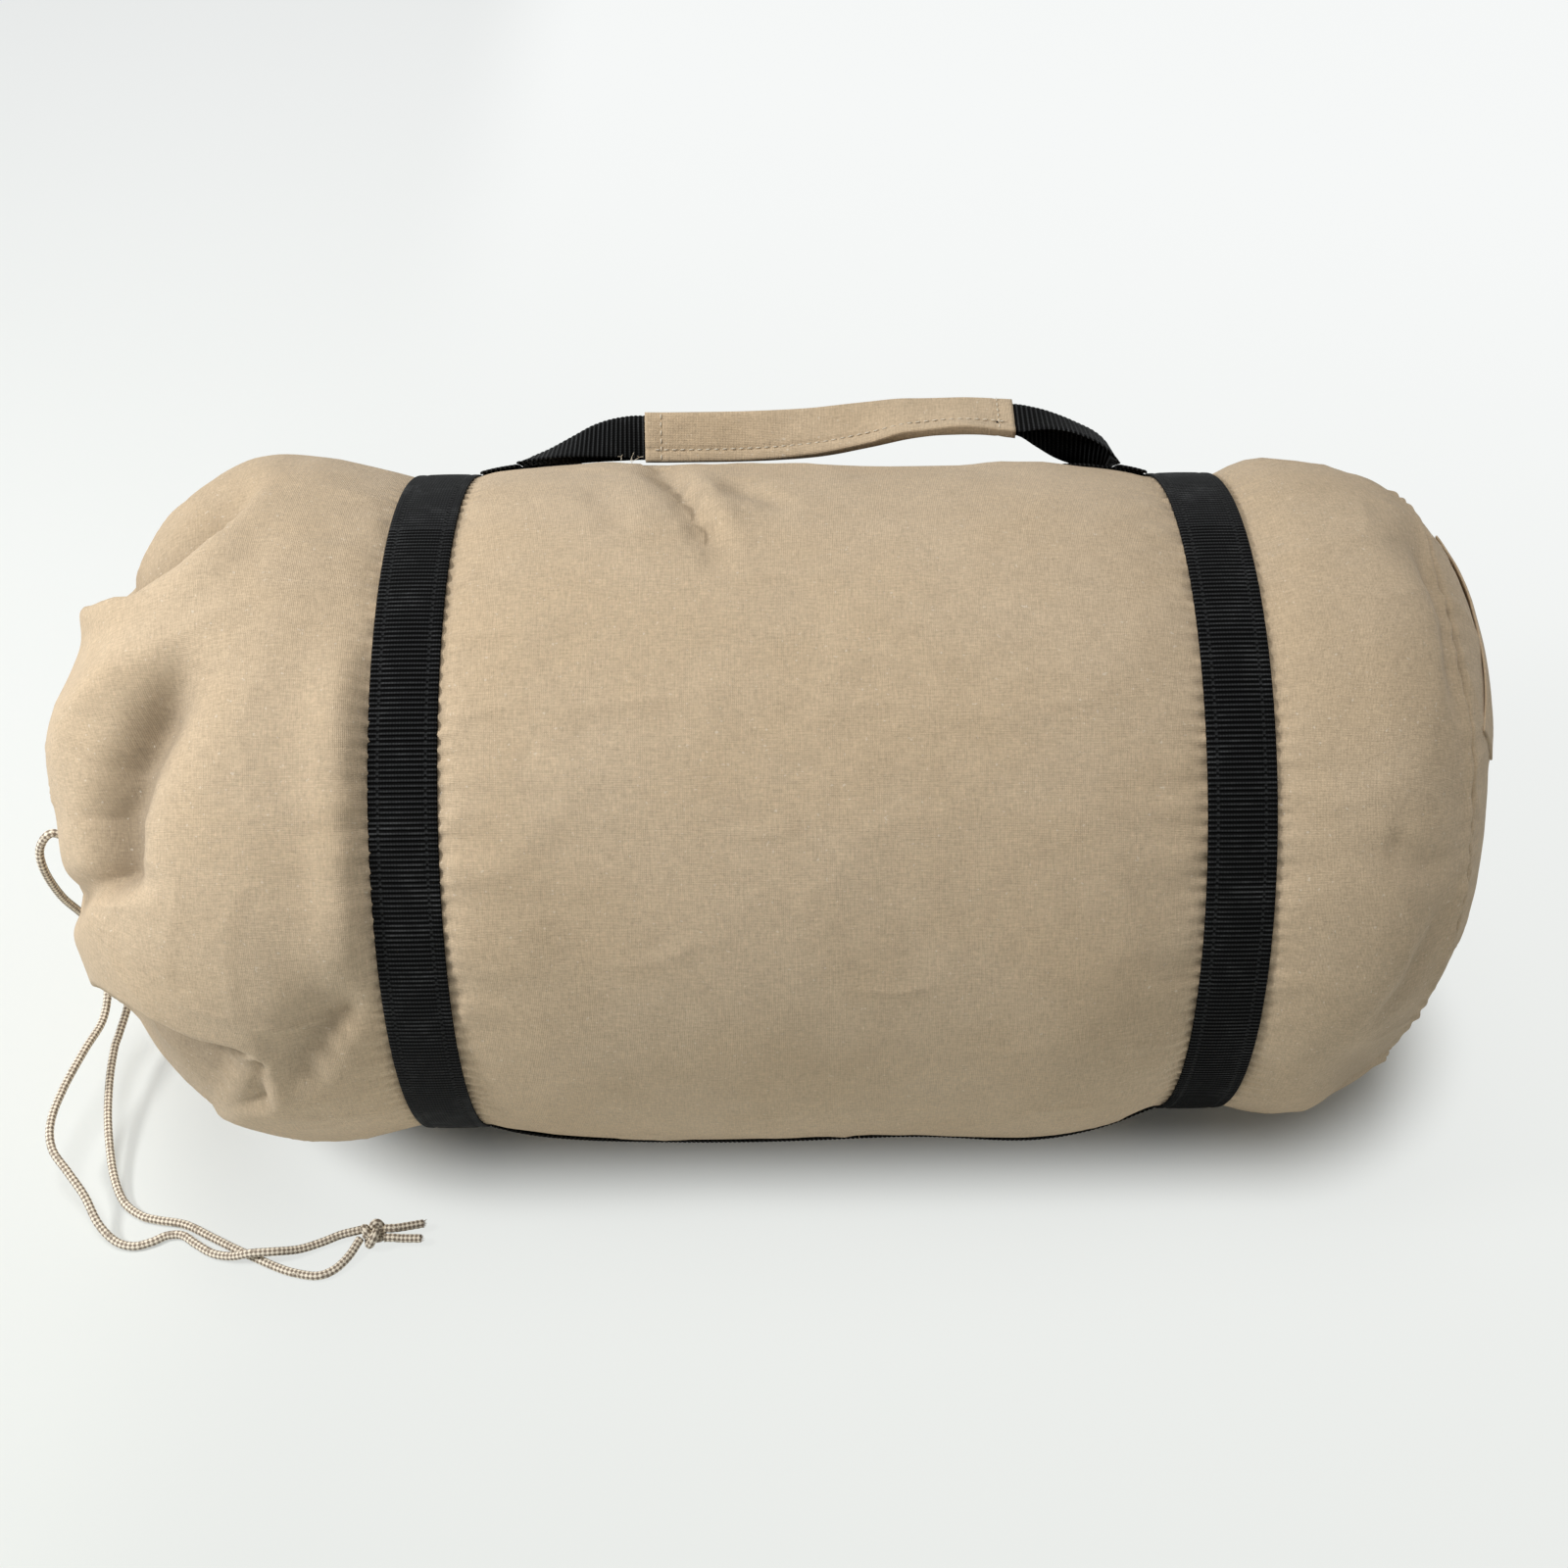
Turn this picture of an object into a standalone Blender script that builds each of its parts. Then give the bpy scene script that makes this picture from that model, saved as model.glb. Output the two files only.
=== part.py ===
"""Hexagonal ridge tarp, packed in its drawstring carry bag and lying on its side.

Metres, Z up. X runs along the bag: the drawn mouth is at -X and the sewn end at +X.
The viewer stands at -Y. The bag rests on Z = 0, and the origin is under the middle of
its length. Angles round the bag are measured from straight up towards the viewer.
"""

import math

import bmesh
import bpy
from mathutils import Matrix, Vector

# Bag: lengths along its axis.
BAG_LENGTH = 0.566
MOUTH_TO_LEFT_BAND = 0.1523
BAND_SPACING = 0.2968
LEFT_BULGE_FROM_BAND = 0.051
RIGHT_BULGE_FROM_BAND = 0.0425

# Bag: outer radii of the cloth.
LEFT_BULGE_RADIUS = 0.1390
LEFT_BAND_RADIUS = 0.1330
MIDDLE_RADIUS = 0.1380
RIGHT_BAND_RADIUS = 0.1295
RIGHT_BULGE_RADIUS = 0.1340
END_SEAM_SHARE = 0.8657
SETTLE_DEPTH = 0.0045
LEFT_DOME_POWER = 2.34
RIGHT_DOME_POWER = 2.45

# Bag: cloth, gathers and folds.
CLOTH_WALL = 0.0010
SEAM_GAP = 0.0006
MOUTH_BULGE = 0.0015
PLEAT_COUNT = 10
PLEAT_DEPTH = 0.0016
SEAM_PUCKERS = 10
SEAM_PUCKER_DEPTH = 0.0010
CLEARANCE = 0.0003
AROUND = 40

# Soft folds under the mouth end: angle at the bulge, angle at the hem, width, depth.
MOUTH_FOLDS = (
    (math.radians(205), math.radians(190), math.radians(16), 0.0050),
    (math.radians(262), math.radians(255), math.radians(14), 0.0055),
)

# Deep folds on top and in front: degrees at rising shares of the way from bulge to hem,
# reach towards lower and higher angles, depth, and the share at which the fold is deepest.
DEEP_FOLD_SHARES = (0.06, 0.15, 0.25, 0.35, 0.45, 0.60)
BACK_FOLD = ((-17, 2, 7, 9, 7, -1), 0.019, 0.006, 0.0105, 0.50)
LONG_FOLD = ((12, 26, 38, 50, 64, 73), 0.020, 0.014, 0.0145, 0.40)
LOW_FOLD = ((94, 93, 92, 91, 92, 99), 0.006, 0.023, 0.0140, 0.28)
DEEP_FOLDS = (BACK_FOLD, LONG_FOLD, LOW_FOLD)
FOLD_ROWS = (1.0, 0.86, 0.74, 0.64, 0.56, 0.48, 0.41, 0.34, 0.27, 0.20, 0.13, 0.06)
FINE_FROM = math.radians(-18)
FINE_TO = math.radians(117)

# Where the load swells the cloth: X, reach, angle, width, height.
SWELLS = (
    (-0.208, 0.030, math.radians(-33), math.radians(38), 0.0060),
    (0.192, 0.025, math.radians(-33), math.radians(38), 0.0038),
    (0.104, 0.036, math.radians(128), math.radians(40), 0.0048),
    (0.000, 0.070, math.radians(128), math.radians(40), 0.0024),
    (0.015, 0.090, math.radians(-33), math.radians(40), -0.0030),
)
END_LEAN = 0.0120
END_TIP_LEAN = 0.0160
VIEW_ANGLE = math.radians(50)

# Webbing hoops and lengthwise straps.
BAND_WIDTH = 0.025
BAND_THICKNESS = 0.0012
BAND_MARGIN = 0.0010
TOP_STRAP_ANGLE = math.radians(-36)
UNDERSIDE_STRAP_ANGLE = math.radians(135.5)
STRAP_WIDTH = 0.025
STRAP_THICKNESS = 0.0012
STRAP_GAP = 0.0004

# Carry handle: 1.5 inch webbing folded in half inside a sewn cloth sleeve.
HANDLE_WEBBING_WIDTH = 0.0365
HANDLE_WEBBING_THICKNESS = 0.0012
HANDLE_LEFT_BASE_X = -0.1025
HANDLE_RIGHT_BASE_X = 0.1418
SLEEVE_LENGTH = 0.152
SLEEVE_START_X = -0.0513
SLEEVE_WALL = 0.0007
FOLD_GAP = 0.0004
HINGE_LIFT_LEFT = 0.0080
HINGE_LIFT_RIGHT = 0.0080

# Drawn mouth: hem channel and drawcord.
HEM_RING_RADIUS = 0.022
HEM_TUBE_RADIUS = 0.006
HEM_BORE_RADIUS = 0.0024
HEM_GATHERS = 12
HEM_GATHER_DEPTH = 0.0008
HEM_SLOT_ANGLE = math.radians(100)
HEM_SLOT_HALF = math.radians(24)
CORD_DIAMETER = 0.0034

# Cloth grab loop sewn on the closed end, measured from the axis in the viewer's frame.
GRAB_LOOP_START = (0.0960, 0.0040)
GRAB_LOOP_END = (0.0300, 0.0800)
GRAB_LOOP_WIDTH = 0.025
GRAB_LOOP_THICKNESS = 0.0016
GRAB_LOOP_PUFF = 0.0020

# Rolled canopy.
ROLL_RADIUS = 0.100
ROLL_CORE_RADIUS = 0.012
ROLL_TURNS = 8
ROLL_SHEET_GAP = 0.0010
ROLL_LENGTH = 0.385
ROLL_CENTRE_X = 0.018
ROLL_POINTS_PER_TURN = 20

# Corner hardware of the canopy.
CORNER_COUNT = 6
CORNER_LOOP_LENGTH = 0.026
CORNER_LOOP_WIDTH = 0.020
CORNER_LOOP_THICKNESS = 0.0014
CORNER_LOOP_EYE = 0.0080
CORNER_RING_RADIUS = 0.0125
CORNER_RING_WIRE = 0.0015
CORNER_CIRCLE_RADIUS = 0.046

# Peg pouch and pegs.
PEG_COUNT = 8
PEG_LENGTH = 0.200
PEG_DIAMETER = 0.0070
POUCH_LENGTH = 0.245
POUCH_HALF_WIDTH = 0.036
POUCH_HALF_HEIGHT = 0.016
POUCH_WALL = 0.0010
POUCH_MOUTH_SCALE = 0.62
POUCH_FLOOR_RISE = 0.0006
POUCH_CENTRE_X = 0.020

# Guy ropes wound into hanks, and their runners.
MAIN_ROPE_DIAMETER = 0.0050
MAIN_ROPE_TURNS = 7
CORNER_ROPE_DIAMETER = 0.0040
CORNER_ROPE_TURNS = 5
HANK_LENGTH = 0.140
HANK_WIDTH = 0.026
HANK_TURN_GAP = 0.0007
HANK_TAIL = 0.035
RUNNER_LENGTH = 0.012
RUNNER_WIDTH = 0.013
RUNNER_HEIGHT = 0.009
RUNNER_FROM_END = 0.014

MOUTH_X = -BAG_LENGTH / 2
END_X = BAG_LENGTH / 2
LEFT_BAND_X = MOUTH_X + MOUTH_TO_LEFT_BAND
RIGHT_BAND_X = LEFT_BAND_X + BAND_SPACING
LEFT_BULGE_X = LEFT_BAND_X - LEFT_BULGE_FROM_BAND
RIGHT_BULGE_X = RIGHT_BAND_X + RIGHT_BULGE_FROM_BAND
DOME_END_X = END_X - GRAB_LOOP_THICKNESS - GRAB_LOOP_PUFF
HEM_X = MOUTH_X + HEM_TUBE_RADIUS
AXIS_HEIGHT = MIDDLE_RADIUS - SETTLE_DEPTH
END_SEAM_RADIUS = RIGHT_BULGE_RADIUS * END_SEAM_SHARE
CORD_RADIUS = CORD_DIAMETER / 2

PARTS = bpy.data.collections.new("hexagonal_tarp")


def clear_scene():
    """Remove the objects that the scene starts with."""
    for thing in list(bpy.data.objects):
        bpy.data.objects.remove(thing, do_unlink=True)
    bpy.context.scene.collection.children.link(PARTS)


def material(name, colour, roughness, metallic=0.0):
    """A Principled material of one colour."""
    made = bpy.data.materials.new(name)
    made.use_nodes = True
    shader = made.node_tree.nodes["Principled BSDF"]
    shader.inputs["Base Color"].default_value = (*colour, 1.0)
    shader.inputs["Roughness"].default_value = roughness
    shader.inputs["Metallic"].default_value = metallic
    return made


def add_object(name, data, finish):
    """Link a mesh or curve to the parts as one named object."""
    made = bpy.data.objects.new(name, data)
    data.materials.append(finish)
    PARTS.objects.link(made)
    return made


def mesh_object(name, mesh, finish, smooth=True):
    """Turn a bmesh into an object, shaded smooth where its faces are nearly level."""
    data = bpy.data.meshes.new(name)
    mesh.to_mesh(data)
    mesh.free()
    if smooth:
        data.shade_smooth()
        data.set_sharp_from_angle(angle=math.radians(40))
    return add_object(name, data, finish)


def add_grid(mesh, rows, closed, turned=None):
    """Add a grid. Rows run along +X and columns by rising angle, so faces look out.

    Where turned is given, each quad is split in two, and the columns it names are split
    along their other diagonal.
    """
    grid = [[mesh.verts.new(point) for point in row] for row in rows]
    columns = len(rows[0])
    last = columns if closed else columns - 1
    for row, after in zip(grid, grid[1:]):
        for j in range(last):
            k = (j + 1) % columns
            if turned is None:
                mesh.faces.new((row[j], row[k], after[k], after[j]))
            elif j in turned:
                mesh.faces.new((row[j], row[k], after[j]))
                mesh.faces.new((row[k], after[k], after[j]))
            else:
                mesh.faces.new((row[j], row[k], after[k]))
                mesh.faces.new((row[j], after[k], after[j]))
    return grid


def add_loft(mesh, sections, turned=None):
    """Add a solid through closed sections of equal count, with both ends capped."""
    grid = add_grid(mesh, sections, True, turned)
    mesh.faces.new(list(reversed(grid[0])))
    mesh.faces.new(grid[-1])


def add_pipe(mesh, outer, inner, turned=None):
    """Add a solid pipe between outer and inner closed sections of equal counts."""
    shell = add_grid(mesh, outer, True, turned)
    bore = add_grid(mesh, inner, True, turned)
    for ends in ((shell[0], bore[0]), (shell[-1], bore[-1])):
        count = len(ends[0])
        for j in range(count):
            k = (j + 1) % count
            mesh.faces.new((ends[0][j], ends[0][k], ends[1][k], ends[1][j]))


def face_outwards(mesh):
    """Turn the faces of closed bodies outwards."""
    bmesh.ops.recalc_face_normals(mesh, faces=mesh.faces)


def thicken(thing, thickness, offset):
    """Give an open surface its wall: -1 adds it inside, 1 outside and 0 on both sides."""
    wall = thing.modifiers.new("wall", "SOLIDIFY")
    wall.thickness = thickness
    wall.offset = offset
    wall.use_even_offset = True


def smooth_path(points, spacing):
    """Even points on a smooth curve through a route whose first and last spans stay straight."""
    fine = []
    for a, b, c, d in zip(points, points[1:], points[2:], points[3:]):
        for step in range(12):
            t = step / 12
            part = 2 * b + (c - a) * t + (2 * a - 5 * b + 4 * c - d) * t**2
            part += (3 * b - a - 3 * c + d) * t**3
            fine.append(part / 2)
    fine.append(points[-2])
    lengths = [0.0]
    for a, b in zip(fine, fine[1:]):
        lengths.append(lengths[-1] + (b - a).length)
    count = max(1, round(lengths[-1] / spacing))
    path = []
    index = 0
    for k in range(count + 1):
        target = lengths[-1] * k / count
        while index < len(fine) - 2 and lengths[index + 1] < target:
            index += 1
        span = lengths[index + 1] - lengths[index]
        path.append(fine[index].lerp(fine[index + 1], (target - lengths[index]) / span))
    return [points[0]] + path + [points[-1]]


def tube(name, points, diameter, finish, sides_step=2):
    """A round cord or wire along the points, with closed ends."""
    data = bpy.data.curves.new(name, "CURVE")
    data.dimensions = "3D"
    line = data.splines.new("POLY")
    line.points.add(len(points) - 1)
    for node, point in zip(line.points, points):
        node.co = (*point, 1.0)
    data.bevel_depth = diameter / 2
    data.bevel_resolution = sides_step
    data.use_fill_caps = True
    return add_object(name, data, finish)


def polar(x, radius, angle):
    """The point at a radius and angle round the bag's axis."""
    return Vector((x, -radius * math.sin(angle), AXIS_HEIGHT + radius * math.cos(angle)))


def around_angles():
    """The angles of the cloth's columns."""
    return [2 * math.pi * k / AROUND for k in range(AROUND)]


def fold_angles():
    """The angles of the columns of the folded end: one more between two at the deep folds."""
    step = 2 * math.pi / AROUND
    angles = []
    for angle in around_angles():
        angles.append(angle)
        middle = angle + step / 2
        turned = middle if middle < FINE_TO + math.pi / 2 else middle - 2 * math.pi
        if FINE_FROM < turned < FINE_TO:
            angles.append(middle)
    return angles


def settled(point, height):
    """A point of the cloth, no lower than the given height above the ground."""
    return Vector((point.x, point.y, max(point.z, height)))


def band_gap(x):
    """How far a point along the bag lies outside the nearer hoop."""
    nearest = min(abs(x - LEFT_BAND_X), abs(x - RIGHT_BAND_X))
    return nearest - BAND_WIDTH / 2


def cloth_lift(x):
    """The lowest height of the cloth: it rides on the hoops where they pass under it."""
    return BAND_THICKNESS + CLEARANCE if band_gap(x) < 1.5 * BAND_MARGIN else 0.0


def panel_radius(x):
    """Radius of the cloth between the two bulges, drawn in at the hoops."""
    half = BAND_WIDTH / 2 + BAND_MARGIN
    if x < LEFT_BAND_X - half:
        share = (LEFT_BAND_X - half - x) / (LEFT_BULGE_FROM_BAND - half)
        rise = LEFT_BULGE_RADIUS - LEFT_BAND_RADIUS
        return LEFT_BAND_RADIUS + rise * math.sin(math.pi / 2 * min(1.0, share))
    if x > RIGHT_BAND_X + half:
        share = (x - RIGHT_BAND_X - half) / (RIGHT_BULGE_FROM_BAND - half)
        rise = RIGHT_BULGE_RADIUS - RIGHT_BAND_RADIUS
        return RIGHT_BAND_RADIUS + rise * math.sin(math.pi / 2 * min(1.0, share))
    if x <= LEFT_BAND_X + half:
        return LEFT_BAND_RADIUS
    if x >= RIGHT_BAND_X - half:
        return RIGHT_BAND_RADIUS
    start = LEFT_BAND_X + half
    share = (x - start) / (BAND_SPACING - 2 * half)
    level = LEFT_BAND_RADIUS + (RIGHT_BAND_RADIUS - LEFT_BAND_RADIUS) * share
    crown = MIDDLE_RADIUS - (LEFT_BAND_RADIUS + RIGHT_BAND_RADIUS) / 2
    return level + crown * (1 - (2 * share - 1) ** 6)


def swell(x, angle):
    """How far the load swells the cloth at a place; nothing next to the hoops."""
    gap = max(0.0, band_gap(x) - BAND_MARGIN)
    if gap == 0.0:
        return 0.0
    total = 0.0
    for centre, reach, turn, width, height in SWELLS:
        off = (angle - turn + math.pi) % (2 * math.pi) - math.pi
        total += height * math.exp(-(((x - centre) / reach) ** 2) - (off / width) ** 2)
    return total * (1 - math.exp(-((gap / 0.010) ** 2)))


def panel_stations():
    """X places of the cloth's rows between the two bulges."""
    half = BAND_WIDTH / 2 + BAND_MARGIN
    inner = [LEFT_BAND_X + half, RIGHT_BAND_X - half]
    span = inner[1] - inner[0]
    middle = [inner[0] + span * s for s in (0.05, 0.14, 0.3, 0.5, 0.7, 0.86, 0.95)]
    left = [LEFT_BULGE_X + s * (LEFT_BULGE_FROM_BAND - half) for s in (0.35, 0.7)]
    right = [RIGHT_BULGE_X - s * (RIGHT_BULGE_FROM_BAND - half) for s in (0.7, 0.35)]
    return (
        left
        + [LEFT_BAND_X - half, inner[0]]
        + middle
        + [inner[1], RIGHT_BAND_X + half]
        + right
    )


def dome_point(swing, base_x, reach, radius, power):
    """X and radius on a rounded end: swing 0 at the bulge, a quarter turn at the tip."""
    x = base_x + reach * math.sin(swing) ** (2 / power)
    return x, radius * max(0.0, math.cos(swing)) ** (2 / power)


def fold_middle(turns, share):
    """The angle of a deep fold's bottom at a share of the way from bulge to hem."""
    if share <= DEEP_FOLD_SHARES[0]:
        return math.radians(turns[0])
    for start, end, a, b in zip(DEEP_FOLD_SHARES, DEEP_FOLD_SHARES[1:], turns, turns[1:]):
        if share <= end:
            return math.radians(a + (b - a) * (share - start) / (end - start))
    return math.radians(turns[-1])


def deep_fold(fold, share, radius, angle):
    """How deep one deep fold presses the cloth; it runs out before the hem."""
    turns, lower, higher, deepest, at_share = fold
    off = (angle - fold_middle(turns, share) + math.pi) % (2 * math.pi) - math.pi
    reach = lower if off < 0 else higher
    ends = min(1.0, share / at_share) ** 0.8 * max(0.0, min(1.0, (0.92 - share) / 0.3))
    return deepest * ends * math.exp(-((off * radius / reach) ** 2))


def fold_depth(share, radius, angle):
    """How deep the folds press the mouth end: share 0 at the bulge, 1 at the hem."""
    depth = 0.0
    fade = math.sin(math.pi * 0.92 * share**0.6)
    for at_bulge, at_hem, width, deepest in MOUTH_FOLDS:
        centre = at_bulge + (at_hem - at_bulge) * share
        off = (angle - centre + math.pi) % (2 * math.pi) - math.pi
        depth += deepest * fade * math.exp(-((off / width) ** 2))
    return depth + max(deep_fold(fold, share, radius, angle) for fold in DEEP_FOLDS)


def mouth_rows():
    """Rows of the gathered end, from the hem to just before the left bulge."""
    reach = MOUTH_X - LEFT_BULGE_X - MOUTH_BULGE
    edge = HEM_RING_RADIUS + HEM_TUBE_RADIUS + 3 * CLEARANCE
    last = math.acos((edge / LEFT_BULGE_RADIUS) ** (LEFT_DOME_POWER / 2))
    rows = []
    for share in FOLD_ROWS:
        swing = last * share
        x, radius = dome_point(
            swing, LEFT_BULGE_X, reach, LEFT_BULGE_RADIUS, LEFT_DOME_POWER
        )
        row = []
        for angle in fold_angles():
            pleat = PLEAT_DEPTH * share**3 * (1 - math.cos(PLEAT_COUNT * angle))
            inward = fold_depth(share, radius, angle) + pleat
            inward -= swell(x, angle) * (1 - share**3)
            place = polar(
                x + inward * math.sin(swing), radius - inward * math.cos(swing), angle
            )
            row.append(settled(place, 0.0))
        rows.append(row)
    return rows


def join_rows(mesh, fine, plain):
    """Join the folded end's last row to a row that has no columns between."""
    angles = fold_angles()
    starts = [angles.index(angle) for angle in around_angles()]
    for k, start in enumerate(starts):
        after = (k + 1) % len(starts)
        end = starts[after]
        between = (start + 1) % len(fine)
        if between == end:
            mesh.faces.new((fine[start], fine[end], plain[after], plain[k]))
            continue
        mesh.faces.new((fine[start], fine[between], plain[k]))
        mesh.faces.new((fine[between], plain[after], plain[k]))
        mesh.faces.new((fine[between], fine[end], plain[after]))


def end_lean(x):
    """Shift of the closed end's middle, away and up, as the puffed end leans."""
    share = max(0.0, (x - RIGHT_BULGE_X) / (DOME_END_X - RIGHT_BULGE_X))
    shift = END_LEAN * share**2 + END_TIP_LEAN * share**6
    return Vector((0, shift * math.cos(VIEW_ANGLE), shift * math.sin(VIEW_ANGLE)))


def end_point(swing, angle):
    """A point of the rounded closed end, puckered next to its seam."""
    x, radius = dome_point(
        swing, RIGHT_BULGE_X, DOME_END_X - RIGHT_BULGE_X, RIGHT_BULGE_RADIUS, RIGHT_DOME_POWER
    )
    near = math.exp(-(((radius - END_SEAM_RADIUS) / 0.012) ** 2))
    pucker = SEAM_PUCKER_DEPTH * near * (1 - math.cos(SEAM_PUCKERS * angle)) / 2
    puffed = radius - pucker + swell(x, angle) * math.cos(swing)
    return polar(x, puffed, angle) + end_lean(x)


def seam_swing():
    """The swing at which the end panel is sewn to the side panel."""
    share = (END_SEAM_RADIUS / RIGHT_BULGE_RADIUS) ** (RIGHT_DOME_POWER / 2)
    return math.acos(share)


def make_side_panel(finish):
    """Cloth tube from the drawn mouth to the end seam, drawn in by the hoops."""
    rows = []
    for x in [LEFT_BULGE_X] + panel_stations():
        radius = panel_radius(x)
        lift = cloth_lift(x)
        places = [polar(x, radius + swell(x, a), a) for a in around_angles()]
        rows.append([settled(place, lift) for place in places])
    swing_gap = SEAM_GAP / 2 / RIGHT_BULGE_RADIUS
    last = seam_swing() - swing_gap
    for share in (0.0, 0.4, 0.72, 1.0):
        swing = last * share
        rows.append([settled(end_point(swing, a), 0.0) for a in around_angles()])
    mesh = bmesh.new()
    folded = add_grid(mesh, mouth_rows(), True)
    plain = add_grid(mesh, rows, True)
    join_rows(mesh, folded[-1], plain[0])
    panel = mesh_object("bag_side_panel", mesh, finish)
    thicken(panel, CLOTH_WALL, -1)
    return panel


def make_end_panel(finish):
    """Round cloth panel that closes the bag, puffed out by what is inside."""
    swing_gap = 1.5 * SEAM_GAP / RIGHT_BULGE_RADIUS
    first = seam_swing() + swing_gap
    rows = []
    for share in (0.0, 0.16, 0.36, 0.6, 0.82, 0.95):
        swing = first + (math.pi / 2 - first) * share
        rows.append([end_point(swing, angle) for angle in around_angles()])
    mesh = bmesh.new()
    grid = add_grid(mesh, rows, True)
    mesh.faces.new(grid[-1])
    panel = mesh_object("bag_end_panel", mesh, finish)
    thicken(panel, CLOTH_WALL, -1)
    return panel


def make_band(name, centre_x, cloth_radius, finish):
    """Webbing hoop sewn round the bag."""
    rows = []
    for x in (centre_x - BAND_WIDTH / 2, centre_x, centre_x + BAND_WIDTH / 2):
        radius = cloth_radius + CLEARANCE
        places = [polar(x, radius, angle) for angle in around_angles()]
        rows.append([settled(place, BAND_THICKNESS) for place in places])
    mesh = bmesh.new()
    add_grid(mesh, rows, True)
    band = mesh_object(name, mesh, finish)
    thicken(band, BAND_THICKNESS, 1)
    return band


def strap_span():
    """Ends of the lengthwise straps, just inside the hoops that hold them."""
    inset = BAND_WIDTH / 2 + BAND_MARGIN
    return LEFT_BAND_X + inset, RIGHT_BAND_X - inset


def along_panel(start, end):
    """The cloth's own row places between two ends, and the ends."""
    margin = 0.002
    between = [x for x in panel_stations() if start + margin < x < end - margin]
    return [start] + between + [end]


def make_strap(name, angle, finish):
    """Lengthwise webbing strap sewn on the cloth between the hoops."""
    start, end = strap_span()
    rows = []
    for x in along_panel(start, end):
        radius = panel_radius(x) + STRAP_GAP
        half = STRAP_WIDTH / 2 / radius
        sides = [angle + half * s for s in (-1.0, -0.5, 0.0, 0.5, 1.0)]
        rows.append([polar(x, radius + swell(x, side), side) for side in sides])
    mesh = bmesh.new()
    add_grid(mesh, rows, False)
    strap = mesh_object(name, mesh, finish)
    thicken(strap, STRAP_THICKNESS, 1)
    return strap


def strap_top(x):
    """Radius of the top strap's outer face."""
    return panel_radius(x) + swell(x, TOP_STRAP_ANGLE) + STRAP_GAP + STRAP_THICKNESS


def hinge_ends():
    """Radius of the handle's swing axis at its left and right base."""
    left = strap_top(HANDLE_LEFT_BASE_X) + HINGE_LIFT_LEFT
    right = strap_top(HANDLE_RIGHT_BASE_X) + HINGE_LIFT_RIGHT
    return left, right


def handle_point(x, side, height):
    """A point by its height over the top strap and its offset towards the viewer."""
    base = polar(x, strap_top(x) + height, TOP_STRAP_ANGLE)
    cross = Vector((0, -math.cos(TOP_STRAP_ANGLE), -math.sin(TOP_STRAP_ANGLE)))
    return base + cross * side


def make_handle_end(name, start, end, finish):
    """Flat sewn end of the handle's webbing, on the top strap beside a hoop."""
    rows = []
    for x in (start, (start + end) / 2, end):
        radius = strap_top(x) + STRAP_GAP
        half = HANDLE_WEBBING_WIDTH / 2 / radius
        sides = [TOP_STRAP_ANGLE + half * s / 3 for s in range(-3, 4)]
        rows.append([polar(x, radius, side) for side in sides])
    mesh = bmesh.new()
    add_grid(mesh, rows, False)
    pad = mesh_object(name, mesh, finish)
    thicken(pad, HANDLE_WEBBING_THICKNESS, 1)
    return pad


def handle_stations():
    """Along the handle: X, gap below the webbing, lean back, half opening of the fold."""
    left = HANDLE_LEFT_BASE_X
    right = HANDLE_RIGHT_BASE_X
    start = SLEEVE_START_X
    end = SLEEVE_START_X + SLEEVE_LENGTH
    rise = start - left
    fall = right - end
    return (
        (left, 0.0008, 0.0, math.radians(88)),
        (left + 0.06 * rise, 0.0009, 0.0, math.radians(82)),
        (left + 0.22 * rise, 0.0010, 0.0, math.radians(74)),
        (left + 0.42 * rise, 0.0012, 0.0, math.radians(58)),
        (left + 0.60 * rise, 0.0013, 0.0, math.radians(38)),
        (left + 0.80 * rise, 0.0014, 0.0, math.radians(18)),
        (start, 0.0014, 0.0, 0.0),
        (start + 0.15 * SLEEVE_LENGTH, 0.0020, 0.0, 0.0),
        (start + 0.31 * SLEEVE_LENGTH, 0.0030, math.radians(4), 0.0),
        (start + 0.46 * SLEEVE_LENGTH, 0.0046, math.radians(12), 0.0),
        (start + 0.60 * SLEEVE_LENGTH, 0.0074, math.radians(26), 0.0),
        (start + 0.72 * SLEEVE_LENGTH, 0.0098, math.radians(40), 0.0),
        (start + 0.85 * SLEEVE_LENGTH, 0.0104, math.radians(46), 0.0),
        (end, 0.0088, math.radians(42), 0.0),
        (end + 0.22 * fall, 0.0074, math.radians(38), math.radians(14)),
        (end + 0.44 * fall, 0.0060, math.radians(30), math.radians(32)),
        (end + 0.64 * fall, 0.0048, math.radians(21), math.radians(46)),
        (end + 0.82 * fall, 0.0038, math.radians(12), math.radians(56)),
        (end + 0.94 * fall, 0.0026, math.radians(4), math.radians(66)),
        (right, 0.0008, 0.0, math.radians(88)),
    )


def wing_length(spread):
    """Length of one wing of the folded webbing, from its fold to its edge."""
    return HANDLE_WEBBING_WIDTH / 2 - HANDLE_WEBBING_THICKNESS * math.cos(spread)


def ridge_height(station):
    """Height of the fold ridge over the top strap."""
    _, below, _, spread = station
    return below + HANDLE_WEBBING_THICKNESS + wing_length(spread) * math.cos(spread)


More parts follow.
